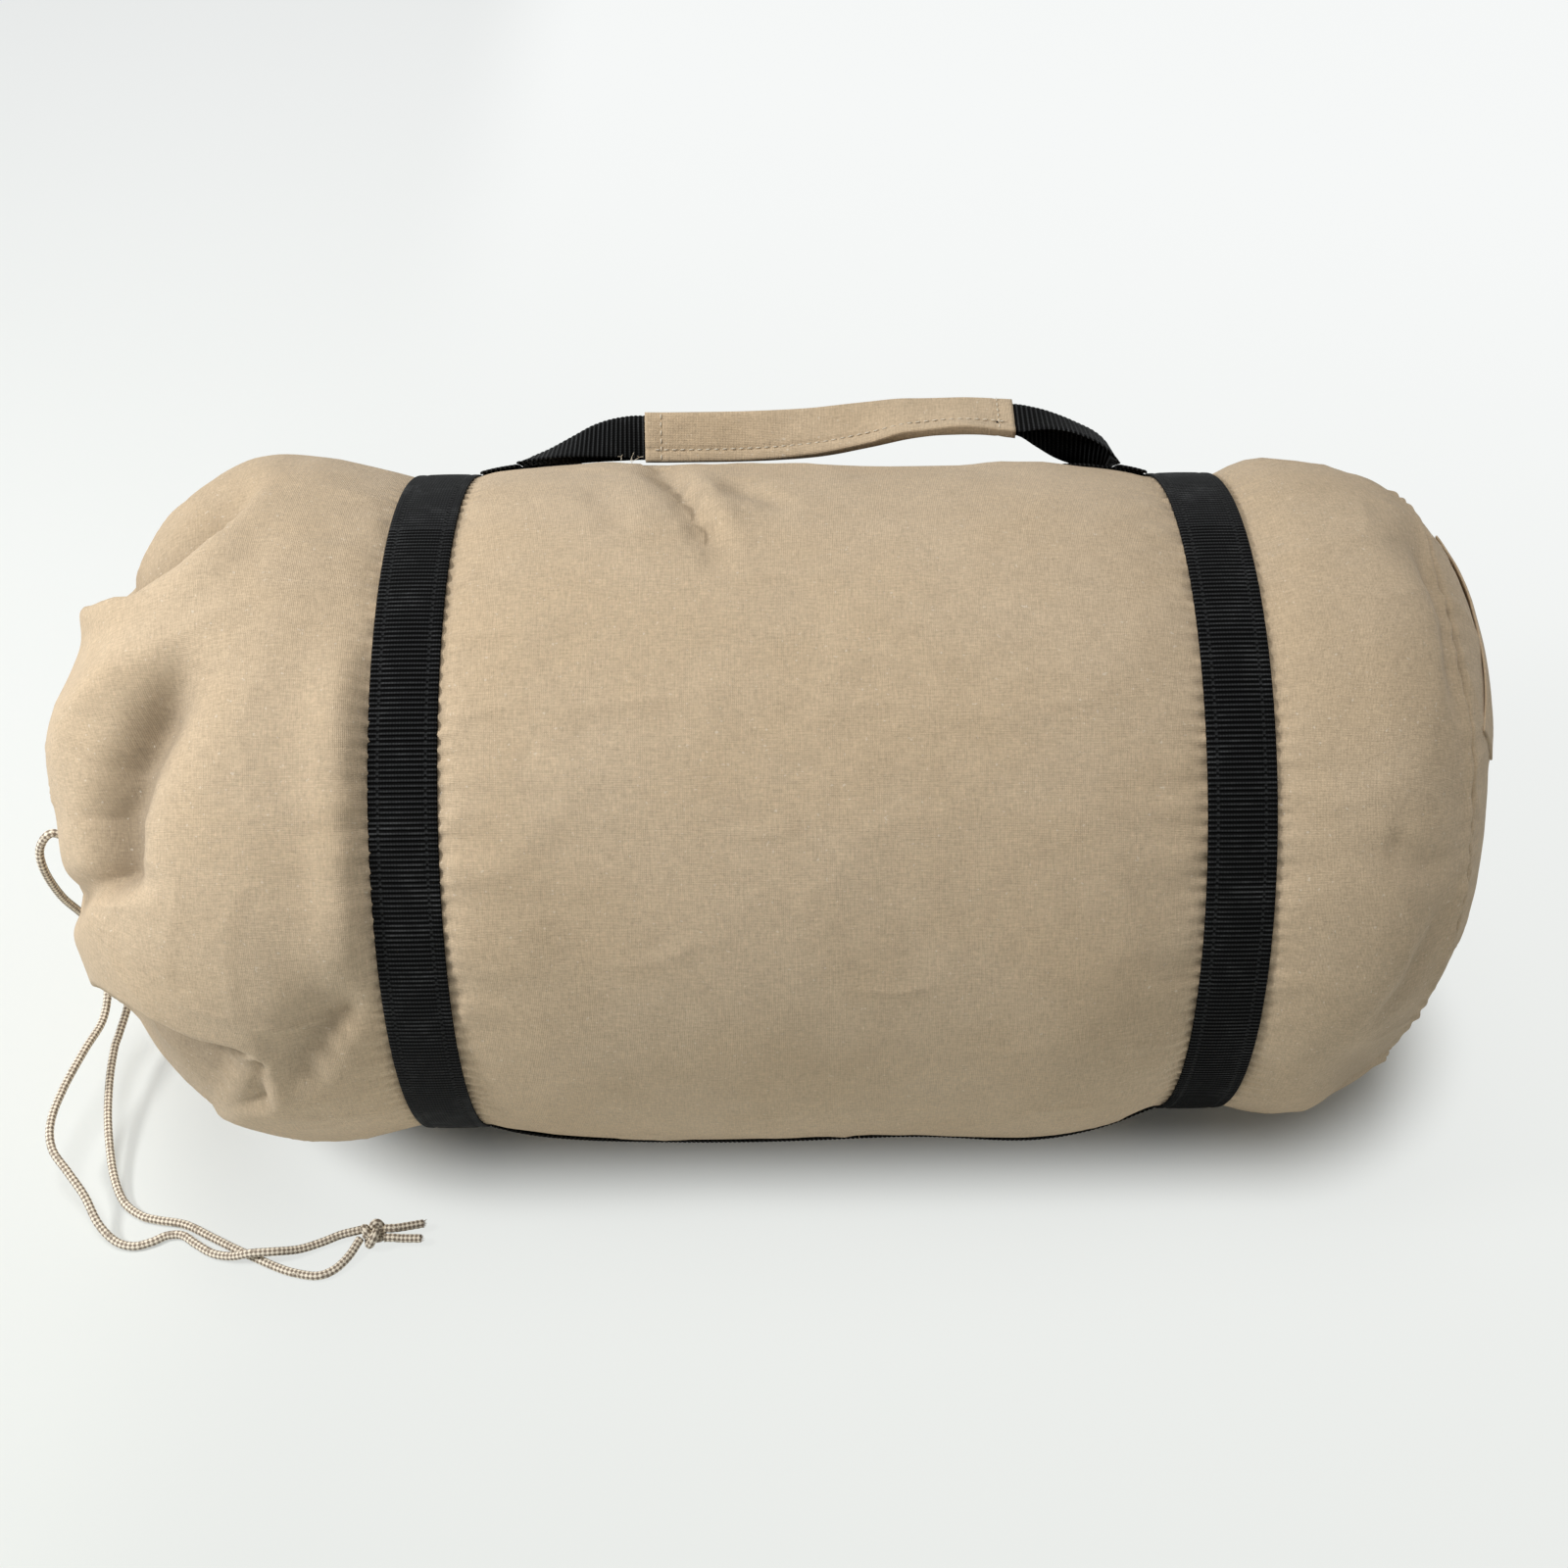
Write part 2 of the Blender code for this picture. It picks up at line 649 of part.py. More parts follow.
def folded_section(station):
    """Section of the handle's webbing: two wings that hang from one fold ridge."""
    x, _, lean, spread = station
    ridge = ridge_height(station)
    thick = HANDLE_WEBBING_THICKNESS
    length = wing_length(spread)
    wings = []
    for facing in (-1, 1):
        along = Vector((math.sin(spread) * facing, -math.cos(spread)))
        out = Vector((math.cos(spread) * facing, math.sin(spread)))
        inner = Vector((facing * FOLD_GAP / 2, -thick))
        outer = inner + out * thick + along * thick * math.sin(spread)
        end = inner + along * length
        wings.append((inner, outer, end + out * thick, end))
    left, right = wings
    loop = [left[3], left[2], left[1], Vector((0, 0)), right[1], right[2], right[3]]
    loop += [right[0], left[0]]
    tilt = Matrix.Rotation(-lean, 2)
    centre = Vector((0.0, -HANDLE_WEBBING_WIDTH / 4 * math.cos(spread)))
    turned = [tilt @ (point - centre) + centre for point in loop]
    return [handle_point(x, -point.x, ridge + point.y) for point in turned]


# Columns whose quads are split the other way, so that facing walls twist alike.
WING_TURNED = (1, 6)
SLEEVE_TURNED = (6,)


def make_handle_webbing(finish):
    """One length of webbing: open at both bases, folded shut in the sleeve."""
    mesh = bmesh.new()
    add_loft(mesh, [folded_section(station) for station in handle_stations()], WING_TURNED)
    face_outwards(mesh)
    return mesh_object("handle_webbing", mesh, finish)


def sleeve_section(station, half_width, top, bottom):
    """Flat section round the folded webbing, leaning with it."""
    x, _, lean, _ = station
    ridge = ridge_height(station)
    shape = [(-0.5, 1.0), (0.5, 1.0), (1.0, 0.93), (1.0, 0.03), (0.9, 0.0)]
    shape += [(-0.9, 0.0), (-1.0, 0.03), (-1.0, 0.93)]
    tilt = Matrix.Rotation(-lean, 2)
    centre = Vector((0.0, -HANDLE_WEBBING_WIDTH / 4))
    points = []
    for across, up in shape:
        height = bottom + (top - bottom) * up
        point = tilt @ (Vector((across * half_width, height)) - centre) + centre
        points.append(handle_point(x, -point.x, ridge + point.y))
    return points


def make_handle_sleeve(finish):
    """Cloth sleeve sewn round the folded webbing as the grip."""
    end = SLEEVE_START_X + SLEEVE_LENGTH
    inside = [s for s in handle_stations() if SLEEVE_START_X - 1e-6 < s[0] < end + 1e-6]
    half = HANDLE_WEBBING_THICKNESS + FOLD_GAP / 2 + CLEARANCE
    low = -HANDLE_WEBBING_WIDTH / 2 - CLEARANCE
    wall = SLEEVE_WALL
    outer = []
    inner = []
    for station in inside:
        outer.append(sleeve_section(station, half + wall, CLEARANCE + wall, low - wall))
        inner.append(sleeve_section(station, half, CLEARANCE, low))
    mesh = bmesh.new()
    add_pipe(mesh, outer, inner, SLEEVE_TURNED)
    face_outwards(mesh)
    return mesh_object("handle_sleeve", mesh, finish)


def ring_section(angle, tube_radius, sides):
    """Section of a tube that runs round the mouth."""
    points = []
    for k in range(sides):
        turn = 2 * math.pi * k / sides
        radius = HEM_RING_RADIUS + tube_radius * math.cos(turn)
        points.append(polar(HEM_X + tube_radius * math.sin(turn), radius, angle))
    return points


def hem_angles(count):
    """Angles from one end of the hem channel round to the other."""
    first = HEM_SLOT_ANGLE + HEM_SLOT_HALF
    sweep = 2 * math.pi - 2 * HEM_SLOT_HALF
    return [first + sweep * k / (count - 1) for k in range(count)]


def make_mouth_hem(finish):
    """Folded hem, gathered tight round the drawcord, open where the cord comes out."""
    outer = []
    inner = []
    for angle in hem_angles(37):
        gather = HEM_GATHER_DEPTH * (1 - math.cos(HEM_GATHERS * angle * 1.5)) / 2
        outer.append(ring_section(angle, HEM_TUBE_RADIUS - gather, 8))
        inner.append(ring_section(angle, HEM_BORE_RADIUS, 8))
    mesh = bmesh.new()
    add_pipe(mesh, outer, inner)
    face_outwards(mesh)
    return mesh_object("mouth_hem", mesh, finish)


def make_hem_cord(finish):
    """Drawcord where it runs inside the hem channel."""
    points = [polar(HEM_X, HEM_RING_RADIUS, angle) for angle in hem_angles(37)]
    return tube("drawcord_in_hem", points, CORD_DIAMETER, finish, 1)


# Drawcord: from the hem, round the end of the bag, down to the ground and to the knot.
STRAND_A_ROUTE = (
    (-0.2805, -0.0240, 0.1290),
    (-0.2865, -0.0270, 0.1390),
    (-0.2925, -0.0290, 0.1440),
    (-0.2980, -0.0308, 0.1375),
    (-0.2985, -0.0320, 0.1265),
    (-0.2980, -0.0255, 0.1060),
    (-0.2970, -0.0120, 0.0800),
    (-0.2980, -0.0055, 0.0560),
    (-0.2980, -0.0100, 0.0380),
    (-0.2985, -0.0235, 0.0300),
    (-0.3021, -0.0421, 0.0300),
    (-0.3064, -0.0617, 0.0280),
    (-0.3079, -0.0785, 0.0260),
    (-0.3054, -0.0900, 0.0220),
    (-0.2973, -0.0994, 0.0180),
    (-0.2894, -0.1079, 0.0130),
    (-0.2827, -0.1175, 0.0070),
    (-0.2751, -0.1236, 0.0030),
    (-0.2673, -0.1256, 0.0019),
    (-0.2600, -0.1236, 0.0019),
    (-0.2545, -0.1205, 0.0019),
    (-0.2480, -0.1205, 0.0019),
    (-0.2415, -0.1250, 0.0019),
    (-0.2333, -0.1300, 0.0019),
    (-0.2248, -0.1322, 0.0030),
    (-0.2165, -0.1328, 0.0056),
    (-0.2075, -0.1322, 0.0056),
    (-0.1984, -0.1293, 0.0030),
    (-0.1898, -0.1256, 0.0024),
    (-0.1820, -0.1226, 0.0034),
)
STRAND_B_ROUTE = (
    (-0.2800, -0.0196, 0.1312),
    (-0.2865, -0.0150, 0.1250),
    (-0.2912, -0.0105, 0.1120),
    (-0.2920, -0.0065, 0.0900),
    (-0.2915, -0.0030, 0.0650),
    (-0.2905, -0.0030, 0.0420),
    (-0.2915, -0.0090, 0.0265),
    (-0.2935, -0.0235, 0.0205),
    (-0.2942, -0.0304, 0.0190),
    (-0.2933, -0.0456, 0.0160),
    (-0.2908, -0.0629, 0.0120),
    (-0.2870, -0.0787, 0.0080),
    (-0.2822, -0.0928, 0.0050),
    (-0.2761, -0.1034, 0.0026),
    (-0.2676, -0.1100, 0.0019),
    (-0.2597, -0.1125, 0.0019),
    (-0.2480, -0.1150, 0.0019),
    (-0.2360, -0.1215, 0.0019),
    (-0.2250, -0.1276, 0.0019),
    (-0.2140, -0.1332, 0.0018),
    (-0.2055, -0.1374, 0.0018),
    (-0.1985, -0.1401, 0.0019),
    (-0.1890, -0.1418, 0.0019),
    (-0.1823, -0.1390, 0.0020),
    (-0.1772, -0.1330, 0.0028),
)
KNOT_CENTRE = Vector((-0.1684, -0.1232, 0.0050))
KNOT_SIZE = Vector((0.0048, 0.0058, 0.0047))
TAIL_LENGTH = 0.0150


def hem_exit(angle, heading):
    """End of the cord in the hem, and a point one and a half diameters further on."""
    gap = heading * CLEARANCE / HEM_RING_RADIUS
    start = polar(HEM_X, HEM_RING_RADIUS, angle + gap)
    along = Vector((0, -math.cos(angle), -math.sin(angle))) * heading
    return [start, start + along * CORD_DIAMETER]


def make_drawcord(cord, knot):
    """Both free strands of the drawcord, the knot that joins them and its two tails."""
    spacing = 2.3 * CORD_DIAMETER
    low = hem_exit(HEM_SLOT_ANGLE + HEM_SLOT_HALF, -1)
    high = hem_exit(HEM_SLOT_ANGLE - HEM_SLOT_HALF, 1)
    left = KNOT_CENTRE.x - KNOT_SIZE.x - CLEARANCE
    into = Vector((CORD_DIAMETER, 0, 0))
    end_a = Vector((left + 0.0002, KNOT_CENTRE.y + 0.0019, KNOT_CENTRE.z))
    end_b = Vector((left + 0.0002, KNOT_CENTRE.y - 0.0022, KNOT_CENTRE.z - 0.0006))
    route_a = low + [Vector(point) for point in STRAND_A_ROUTE] + [end_a - into, end_a]
    route_b = high + [Vector(point) for point in STRAND_B_ROUTE] + [end_b - into, end_b]
    tube("drawcord_strand_a", smooth_path(route_a, spacing), CORD_DIAMETER, cord)
    tube("drawcord_strand_b", smooth_path(route_b, spacing), CORD_DIAMETER, cord)
    lump = bmesh.new()
    bmesh.ops.create_uvsphere(lump, u_segments=16, v_segments=10, radius=1.0)
    for vert in lump.verts:
        vert.co = KNOT_CENTRE + Vector(a * b for a, b in zip(vert.co, KNOT_SIZE))
    mesh_object("drawcord_knot", lump, knot)
    right = KNOT_CENTRE.x + KNOT_SIZE.x + CLEARANCE - 0.0002
    for label, side, rise, drift in (("a", 0.0021, 0.0004, 0.0036), ("b", -0.0019, -0.0006, 0.0)):
        start = Vector((right, KNOT_CENTRE.y + side, KNOT_CENTRE.z + rise))
        middle = start + Vector((TAIL_LENGTH * 0.45, drift * 0.3, -0.0006))
        end = start + Vector((TAIL_LENGTH, drift, -0.0014 - rise))
        points = smooth_path([start, start + into, middle + into * 0.2, end], spacing / 2)
        tube("drawcord_tail_" + label, points, CORD_DIAMETER, cord)


def make_grab_loop(finish):
    """Flat cloth loop across the closed end, standing a little off the panel."""
    near = Vector((-math.sin(VIEW_ANGLE), math.cos(VIEW_ANGLE)))
    level = Vector((math.cos(VIEW_ANGLE), math.sin(VIEW_ANGLE)))
    start = near * GRAB_LOOP_START[0] + level * GRAB_LOOP_START[1]
    end = near * GRAB_LOOP_END[0] + level * GRAB_LOOP_END[1]
    along = (end - start).normalized()
    across = Vector((-along.y, along.x))
    reach = DOME_END_X - RIGHT_BULGE_X
    rows = []
    for k in range(5):
        row = []
        for step in range(11):
            share = step / 10
            place = start.lerp(end, share) + across * GRAB_LOOP_WIDTH * (k / 4 - 0.5)
            ratio = place.length / RIGHT_BULGE_RADIUS
            swing = math.acos(ratio ** (RIGHT_DOME_POWER / 2))
            x, _ = dome_point(
                swing, RIGHT_BULGE_X, reach, RIGHT_BULGE_RADIUS, RIGHT_DOME_POWER
            )
            out = place.normalized() * math.cos(swing)
            lean = Vector((math.sin(swing), out.x, out.y)).normalized()
            puff = GRAB_LOOP_PUFF * (1 - (2 * share - 1) ** 4) + 2 * CLEARANCE
            seat = Vector((x, place.x, AXIS_HEIGHT + place.y)) + end_lean(x)
            row.append(seat + lean * puff)
        rows.append(row)
    mesh = bmesh.new()
    add_grid(mesh, rows, False)
    for face in mesh.faces:
        face.normal_update()
    if sum(face.normal.x for face in mesh.faces) < 0:
        bmesh.ops.reverse_faces(mesh, faces=mesh.faces)
    loop = mesh_object("end_grab_loop", mesh, finish)
    thicken(loop, GRAB_LOOP_THICKNESS, 1)
    return loop


def roll_height():
    """Height of the roll's centre: it lies where the right hoop draws the cloth in."""
    lowest = AXIS_HEIGHT - min(LEFT_BAND_RADIUS, RIGHT_BAND_RADIUS) + CLOTH_WALL + CLEARANCE
    left = cloth_lift(LEFT_BAND_X) + CLOTH_WALL + CLEARANCE
    return max(lowest, left) + ROLL_RADIUS


def roll_pitch():
    """How far the roll grows in one turn."""
    return (ROLL_RADIUS - ROLL_CORE_RADIUS) / ROLL_TURNS


def roll_surface(angle):
    """Radius of the roll's outer layer: the loose edge lies at the bottom."""
    return ROLL_RADIUS - roll_pitch() * ((math.pi - angle) % (2 * math.pi)) / (2 * math.pi)


def make_roll(finish):
    """Canopy folded to a long strip and rolled up from one end: one unbroken spiral."""
    pitch = roll_pitch()
    thick = pitch - ROLL_SHEET_GAP
    steps = ROLL_TURNS * ROLL_POINTS_PER_TURN
    height = roll_height()
    left = ROLL_CENTRE_X - ROLL_LENGTH / 2
    rows = []
    for x in (left, left + ROLL_LENGTH):
        row = []
        for k in range(steps + 1):
            turn = 2 * math.pi * k / ROLL_POINTS_PER_TURN
            radius = ROLL_CORE_RADIUS + pitch * k / ROLL_POINTS_PER_TURN
            y = -radius * math.sin(turn + math.pi)
            z = height + radius * math.cos(turn + math.pi)
            row.append(Vector((x, y, z)))
        rows.append(row)
    mesh = bmesh.new()
    add_grid(mesh, rows, False)
    roll = mesh_object("canopy_roll", mesh, finish)
    thicken(roll, thick, -1)
    print("least gap between the turns of the roll", round(pitch - thick, 4))
    return roll


def copies(name, mesh, finish, places):
    """Place one mesh several times, each as an object of its own with a number."""
    first = mesh_object(name + "_1", mesh, finish)
    first.location = places[0]
    for number, place in enumerate(places[1:], 2):
        again = bpy.data.objects.new(f"{name}_{number}", first.data)
        again.location = place
        PARTS.objects.link(again)


def corner_places():
    """Centres of the corner loops' roots on the mouth end of the roll."""
    height = roll_height()
    places = []
    for k in range(CORNER_COUNT):
        turn = 2 * math.pi * (k + 0.5) / CORNER_COUNT
        y = CORNER_CIRCLE_RADIUS * math.sin(turn)
        z = height + CORNER_CIRCLE_RADIUS * math.cos(turn)
        places.append(Vector((ROLL_CENTRE_X - ROLL_LENGTH / 2 - CLEARANCE, y, z)))
    return places


def loop_outline(inset):
    """Outline of a corner loop from the side: flat at the canopy, round at the ring."""
    half = CORNER_LOOP_EYE / 2 + CORNER_LOOP_THICKNESS - inset
    turn_x = -CORNER_LOOP_LENGTH + CORNER_LOOP_EYE / 2 + CORNER_LOOP_THICKNESS
    points = [Vector((-inset, half)), Vector((-inset, -half))]
    for k in range(7):
        swing = -math.pi / 2 - math.pi * k / 6
        points.append(Vector((turn_x + half * math.cos(swing), half * math.sin(swing))))
    return points


def make_corner_loops(webbing):
    """Folded webbing loops at the six corners of the canopy."""
    mesh = bmesh.new()
    outer = []
    inner = []
    for side in (-CORNER_LOOP_WIDTH / 2, CORNER_LOOP_WIDTH / 2):
        edge = loop_outline(0.0)
        hole = loop_outline(CORNER_LOOP_THICKNESS)
        outer.append([Vector((p.x, side, p.y)) for p in edge])
        inner.append([Vector((p.x, side, p.y)) for p in hole])
    add_pipe(mesh, outer, inner)
    face_outwards(mesh)
    copies("corner_loop", mesh, webbing, corner_places())


def make_corner_rings(metal):
    """Round steel rings, one hanging in each corner loop."""
    mesh = bmesh.new()
    sides = 14
    wire_sides = 6
    grid = []
    for k in range(sides):
        turn = 2 * math.pi * k / sides
        row = []
        for j in range(wire_sides):
            swing = 2 * math.pi * j / wire_sides
            radius = CORNER_RING_RADIUS + CORNER_RING_WIRE * math.cos(swing)
            z = CORNER_RING_WIRE * math.sin(swing)
            row.append((radius * math.cos(turn), radius * math.sin(turn), z))
        grid.append(row)
    made = [[mesh.verts.new(point) for point in row] for row in grid]
    for k in range(sides):
        m = (k + 1) % sides
        for j in range(wire_sides):
            n = (j + 1) % wire_sides
            mesh.faces.new((made[k][j], made[k][n], made[m][n], made[m][j]))
    face_outwards(mesh)
    offset = Vector((-CORNER_LOOP_LENGTH - 0.002, 0, 0))
    copies("corner_ring", mesh, metal, [place + offset for place in corner_places()])


def pouch_section(x, scale, inset):
    """Flattened oval section of the peg pouch, lying on top of the roll."""
    half_width = POUCH_HALF_WIDTH * scale - inset
    half_height = POUCH_HALF_HEIGHT - inset
    base = roll_height() + roll_surface(0.0) + CLEARANCE + POUCH_HALF_HEIGHT
    points = []
    for k in range(20):
        turn = 2 * math.pi * k / 20
        y = -half_width * math.copysign(abs(math.sin(turn)) ** 0.6, math.sin(turn))
        z = half_height * math.copysign(abs(math.cos(turn)) ** 0.6, math.cos(turn))
        points.append(Vector((x, y, base + z)))
    return points


def make_pouch(finish):
    """Cloth pouch for the pegs, open at its gathered neck."""
    left = POUCH_CENTRE_X - POUCH_LENGTH / 2
    right = left + POUCH_LENGTH
    neck = 0.030
    outer = []
    inner = []
    for x, scale in ((left, POUCH_MOUTH_SCALE), (left + neck, 1.0), (right, 1.0)):
        outer.append(pouch_section(x, scale, 0.0))
        inner.append(pouch_section(x, scale, POUCH_WALL))
    inner[-1] = pouch_section(right - POUCH_WALL, 1.0, POUCH_WALL)
    mesh = bmesh.new()
    shell = add_grid(mesh, outer, True)
    bore = add_grid(mesh, inner, True)
    count = len(outer[0])
    for j in range(count):
        k = (j + 1) % count
        mesh.faces.new((shell[0][j], shell[0][k], bore[0][k], bore[0][j]))
    mesh.faces.new(shell[-1])
    mesh.faces.new(bore[-1])
    face_outwards(mesh)
    return mesh_object("peg_pouch", mesh, finish)


def make_pegs(finish):
    """Steel pegs with a turned collar and a pointed tip, stacked in two layers."""
    profile = (
        (-PEG_LENGTH, 1.0),
        (-PEG_LENGTH + 0.008, 1.0),
        (-PEG_LENGTH + 0.011, 0.72),
        (-0.022, 0.72),
        (0.0, 0.12),
    )
    sides = 10
    mesh = bmesh.new()
    sections = []
    for x, share in profile:
        radius = PEG_DIAMETER / 2 * share
        turns = [2 * math.pi * (j + 0.5) / sides for j in range(sides)]
        sections.append([(x, -radius * math.sin(t), radius * math.cos(t)) for t in turns])
    add_loft(mesh, [[Vector(point) for point in ring] for ring in sections])
    face_outwards(mesh)
    base = roll_height() + roll_surface(0.0) + CLEARANCE + POUCH_WALL + POUCH_FLOOR_RISE
    tip = POUCH_CENTRE_X + POUCH_LENGTH / 2 - POUCH_WALL - 0.010
    per_layer = PEG_COUNT // 2
    places = []
    for k in range(PEG_COUNT):
        layer, column = divmod(k, per_layer)
        y = (PEG_DIAMETER + CLEARANCE) * (column - (per_layer - 1) / 2)
        flat = PEG_DIAMETER * math.cos(math.pi / sides)
        z = base + flat / 2 + layer * (flat + CLEARANCE)
        places.append(Vector((tip, y, z)))
    copies("tent_peg", mesh, finish, places)


def hank_route(diameter, turns):
    """Points of a rope wound into a long hank, turn beside turn, ending in a straight tail."""
    pitch = diameter + HANK_TURN_GAP
    radius = (HANK_WIDTH - diameter) / 2
    half = HANK_LENGTH / 2 - HANK_WIDTH / 2
    per_end = 4
    points = []
    total = turns * 2 * per_end
    for k in range(total):
        end, step = divmod(k % (2 * per_end), per_end)
        swing = -math.pi / 2 + math.pi * step / (per_end - 1) + math.pi * end
        middle = half if end == 0 else -half
        advance = pitch * k / (2 * per_end)
        rise = -radius * math.sin(swing)
        points.append(Vector((middle + radius * math.cos(swing), advance, rise)))
    last = points[-1]
    beside = last.y + pitch / (2 * per_end)
    points.append(Vector((half, beside, last.z)))
    points.append(Vector((half + HANK_WIDTH / 2 + HANK_TAIL, beside, last.z)))
    return points


def hank_places():
    """Each rope: name, diameter, turns, angle round the roll, X of its hank."""
    left = ROLL_CENTRE_X - 0.095
    right = ROLL_CENTRE_X + 0.085
    return (
        ("main_guy_rope_1", MAIN_ROPE_DIAMETER, MAIN_ROPE_TURNS, math.radians(54), left),
        ("main_guy_rope_2", MAIN_ROPE_DIAMETER, MAIN_ROPE_TURNS, math.radians(-54), left),
        ("corner_guy_rope_1", CORNER_ROPE_DIAMETER, CORNER_ROPE_TURNS, math.radians(36), right),
        ("corner_guy_rope_2", CORNER_ROPE_DIAMETER, CORNER_ROPE_TURNS, math.radians(-36), right),
        ("corner_guy_rope_3", CORNER_ROPE_DIAMETER, CORNER_ROPE_TURNS, math.radians(72), right),
        ("corner_guy_rope_4", CORNER_ROPE_DIAMETER, CORNER_ROPE_TURNS, math.radians(-72), right),
    )


def on_roll(angle, x, along, across, out):
    """A point beside the roll: out from its surface, across it and along the bag."""
    middle = Vector((0, -math.sin(angle), math.cos(angle)))
    sideways = Vector((0, -math.cos(angle), -math.sin(angle)))
    centre = Vector((x, 0, roll_height()))
    reach = roll_surface(angle) + out
    return centre + Vector((along, 0, 0)) + sideways * across + middle * reach


def make_rope(name, diameter, turns, angle, x, rope, runner):
    """One guy rope in its hank, with the runner threaded on its tail."""
    route = hank_route(diameter, turns)
    thickness = (diameter + HANK_TURN_GAP) * turns
    lift = HANK_WIDTH / 2 + CLEARANCE
    placed = []
    for point in route:
        across = point.y - thickness / 2
        placed.append(on_roll(angle, x, point.x, across, lift + point.z))
    tube(name, placed, diameter, rope, 1)
    print(name, "least gap between turns", HANK_TURN_GAP)
    tail_start = placed[-2]
    tail_end = placed[-1]
    along = (tail_end - tail_start).normalized()
    centre = tail_end - along * (RUNNER_LENGTH / 2 + RUNNER_FROM_END)
    middle = Vector((0, -math.sin(angle), math.cos(angle)))
    sideways = Vector((0, -math.cos(angle), -math.sin(angle)))
    outer = []
    inner = []
    bore = diameter / 2 + 2.2 * CLEARANCE
    for step in (-0.5, 0.5):
        spot = centre + along * RUNNER_LENGTH * step
        ring = []
        hole = []
        for k in range(8):
            turn = 2 * math.pi * (k + 0.5) / 8
            wide = math.copysign(min(abs(math.cos(turn)) * 1.2, 1.0), math.cos(turn))
            tall = math.copysign(min(abs(math.sin(turn)) * 1.2, 1.0), math.sin(turn))
            ring.append(spot + sideways * wide * RUNNER_WIDTH / 2 + middle * tall * RUNNER_HEIGHT / 2)
            hole.append(spot + (sideways * math.cos(turn) + middle * math.sin(turn)) * bore)
        outer.append(ring)
        inner.append(hole)
    mesh = bmesh.new()
    add_pipe(mesh, outer, inner)
    face_outwards(mesh)
    mesh_object(name.replace("guy_rope", "rope_runner"), mesh, runner)


def report_handle():
    """Print the handle's swing axis for the record."""
    left, right = hinge_ends()
    start = polar(HANDLE_LEFT_BASE_X, left, TOP_STRAP_ANGLE)
    end = polar(HANDLE_RIGHT_BASE_X, right, TOP_STRAP_ANGLE)
    axis = (end - start).normalized()
    print("handle axis from", [round(v, 5) for v in start], "along", [round(v, 5) for v in axis])


def main():
    """Build every piece."""
    clear_scene()
    sand = material("sand_cloth", (0.58, 0.45, 0.31), 0.92)
    black = material("black_webbing", (0.012, 0.013, 0.016), 0.75)
    cord = material("beige_cord", (0.50, 0.40, 0.29), 0.8)
    canopy = material("canopy_cloth", (0.55, 0.43, 0.29), 0.9)
    steel = material("steel", (0.55, 0.56, 0.58), 0.35, 1.0)
    rope = material("guy_rope", (0.30, 0.24, 0.16), 0.8)
    alloy = material("runner_alloy", (0.10, 0.10, 0.11), 0.4, 1.0)

    make_side_panel(sand)
    make_end_panel(sand)
    make_mouth_hem(sand)
    make_grab_loop(sand)
    make_band("left_band", LEFT_BAND_X, LEFT_BAND_RADIUS, black)
    make_band("right_band", RIGHT_BAND_X, RIGHT_BAND_RADIUS, black)
    make_strap("top_strap", TOP_STRAP_ANGLE, black)
    make_strap("underside_strap", UNDERSIDE_STRAP_ANGLE, black)
    start, end = strap_span()
    make_handle_end("handle_end_left", start, HANDLE_LEFT_BASE_X - CLEARANCE, black)
    make_handle_end("handle_end_right", HANDLE_RIGHT_BASE_X + CLEARANCE, end, black)
    make_handle_webbing(black)
    make_handle_sleeve(sand)
    make_hem_cord(cord)
    make_drawcord(cord, cord)
    make_roll(canopy)
    make_corner_loops(black)
    make_corner_rings(steel)
    make_pouch(sand)
    make_pegs(steel)
    for name, diameter, turns, angle, x in hank_places():
        make_rope(name, diameter, turns, angle, x, rope, alloy)
    report_handle()


main()
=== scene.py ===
"""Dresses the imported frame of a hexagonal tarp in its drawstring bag.

Metres, Z up, in the frame of the CAD part. The bag lies along X with its drawn mouth at
-X and its sewn end at +X, and the viewer stands at -Y. Angles round the bag are measured
from straight up towards the viewer.
"""

import logging
import math
from dataclasses import dataclass
from enum import Enum

import bmesh
import bpy
import numpy as np
from mathutils import Matrix, Vector


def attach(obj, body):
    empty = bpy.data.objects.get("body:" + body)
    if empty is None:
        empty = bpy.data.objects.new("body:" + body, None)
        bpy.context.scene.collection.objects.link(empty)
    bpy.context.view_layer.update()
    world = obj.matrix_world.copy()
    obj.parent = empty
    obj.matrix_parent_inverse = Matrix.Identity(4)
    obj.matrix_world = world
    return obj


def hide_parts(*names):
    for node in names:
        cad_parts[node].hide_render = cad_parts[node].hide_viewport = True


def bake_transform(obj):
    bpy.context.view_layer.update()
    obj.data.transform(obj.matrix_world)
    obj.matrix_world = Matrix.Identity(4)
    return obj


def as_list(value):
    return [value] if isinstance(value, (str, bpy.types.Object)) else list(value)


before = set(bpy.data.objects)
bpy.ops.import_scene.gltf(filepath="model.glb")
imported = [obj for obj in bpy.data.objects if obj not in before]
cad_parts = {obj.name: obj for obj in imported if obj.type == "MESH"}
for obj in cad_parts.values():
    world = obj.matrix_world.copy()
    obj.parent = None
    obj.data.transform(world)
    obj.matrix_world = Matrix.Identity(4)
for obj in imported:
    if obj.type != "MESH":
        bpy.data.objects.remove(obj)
LOG = logging.getLogger("tarp_bag")
FRAME_PIXELS = 1600
SEAT = 0.0003  # clearance between pieces that rest on one another
VIEWER = math.radians(50.0)  # angle round the bag that faces the camera
STRAP_TURN = math.radians(-36.0)  # angle round the bag of the top strap and the handle

Array = np.ndarray
Colour = Place = tuple[float, float, float]
Mesh = bmesh.types.BMesh
Piece = bpy.types.Object


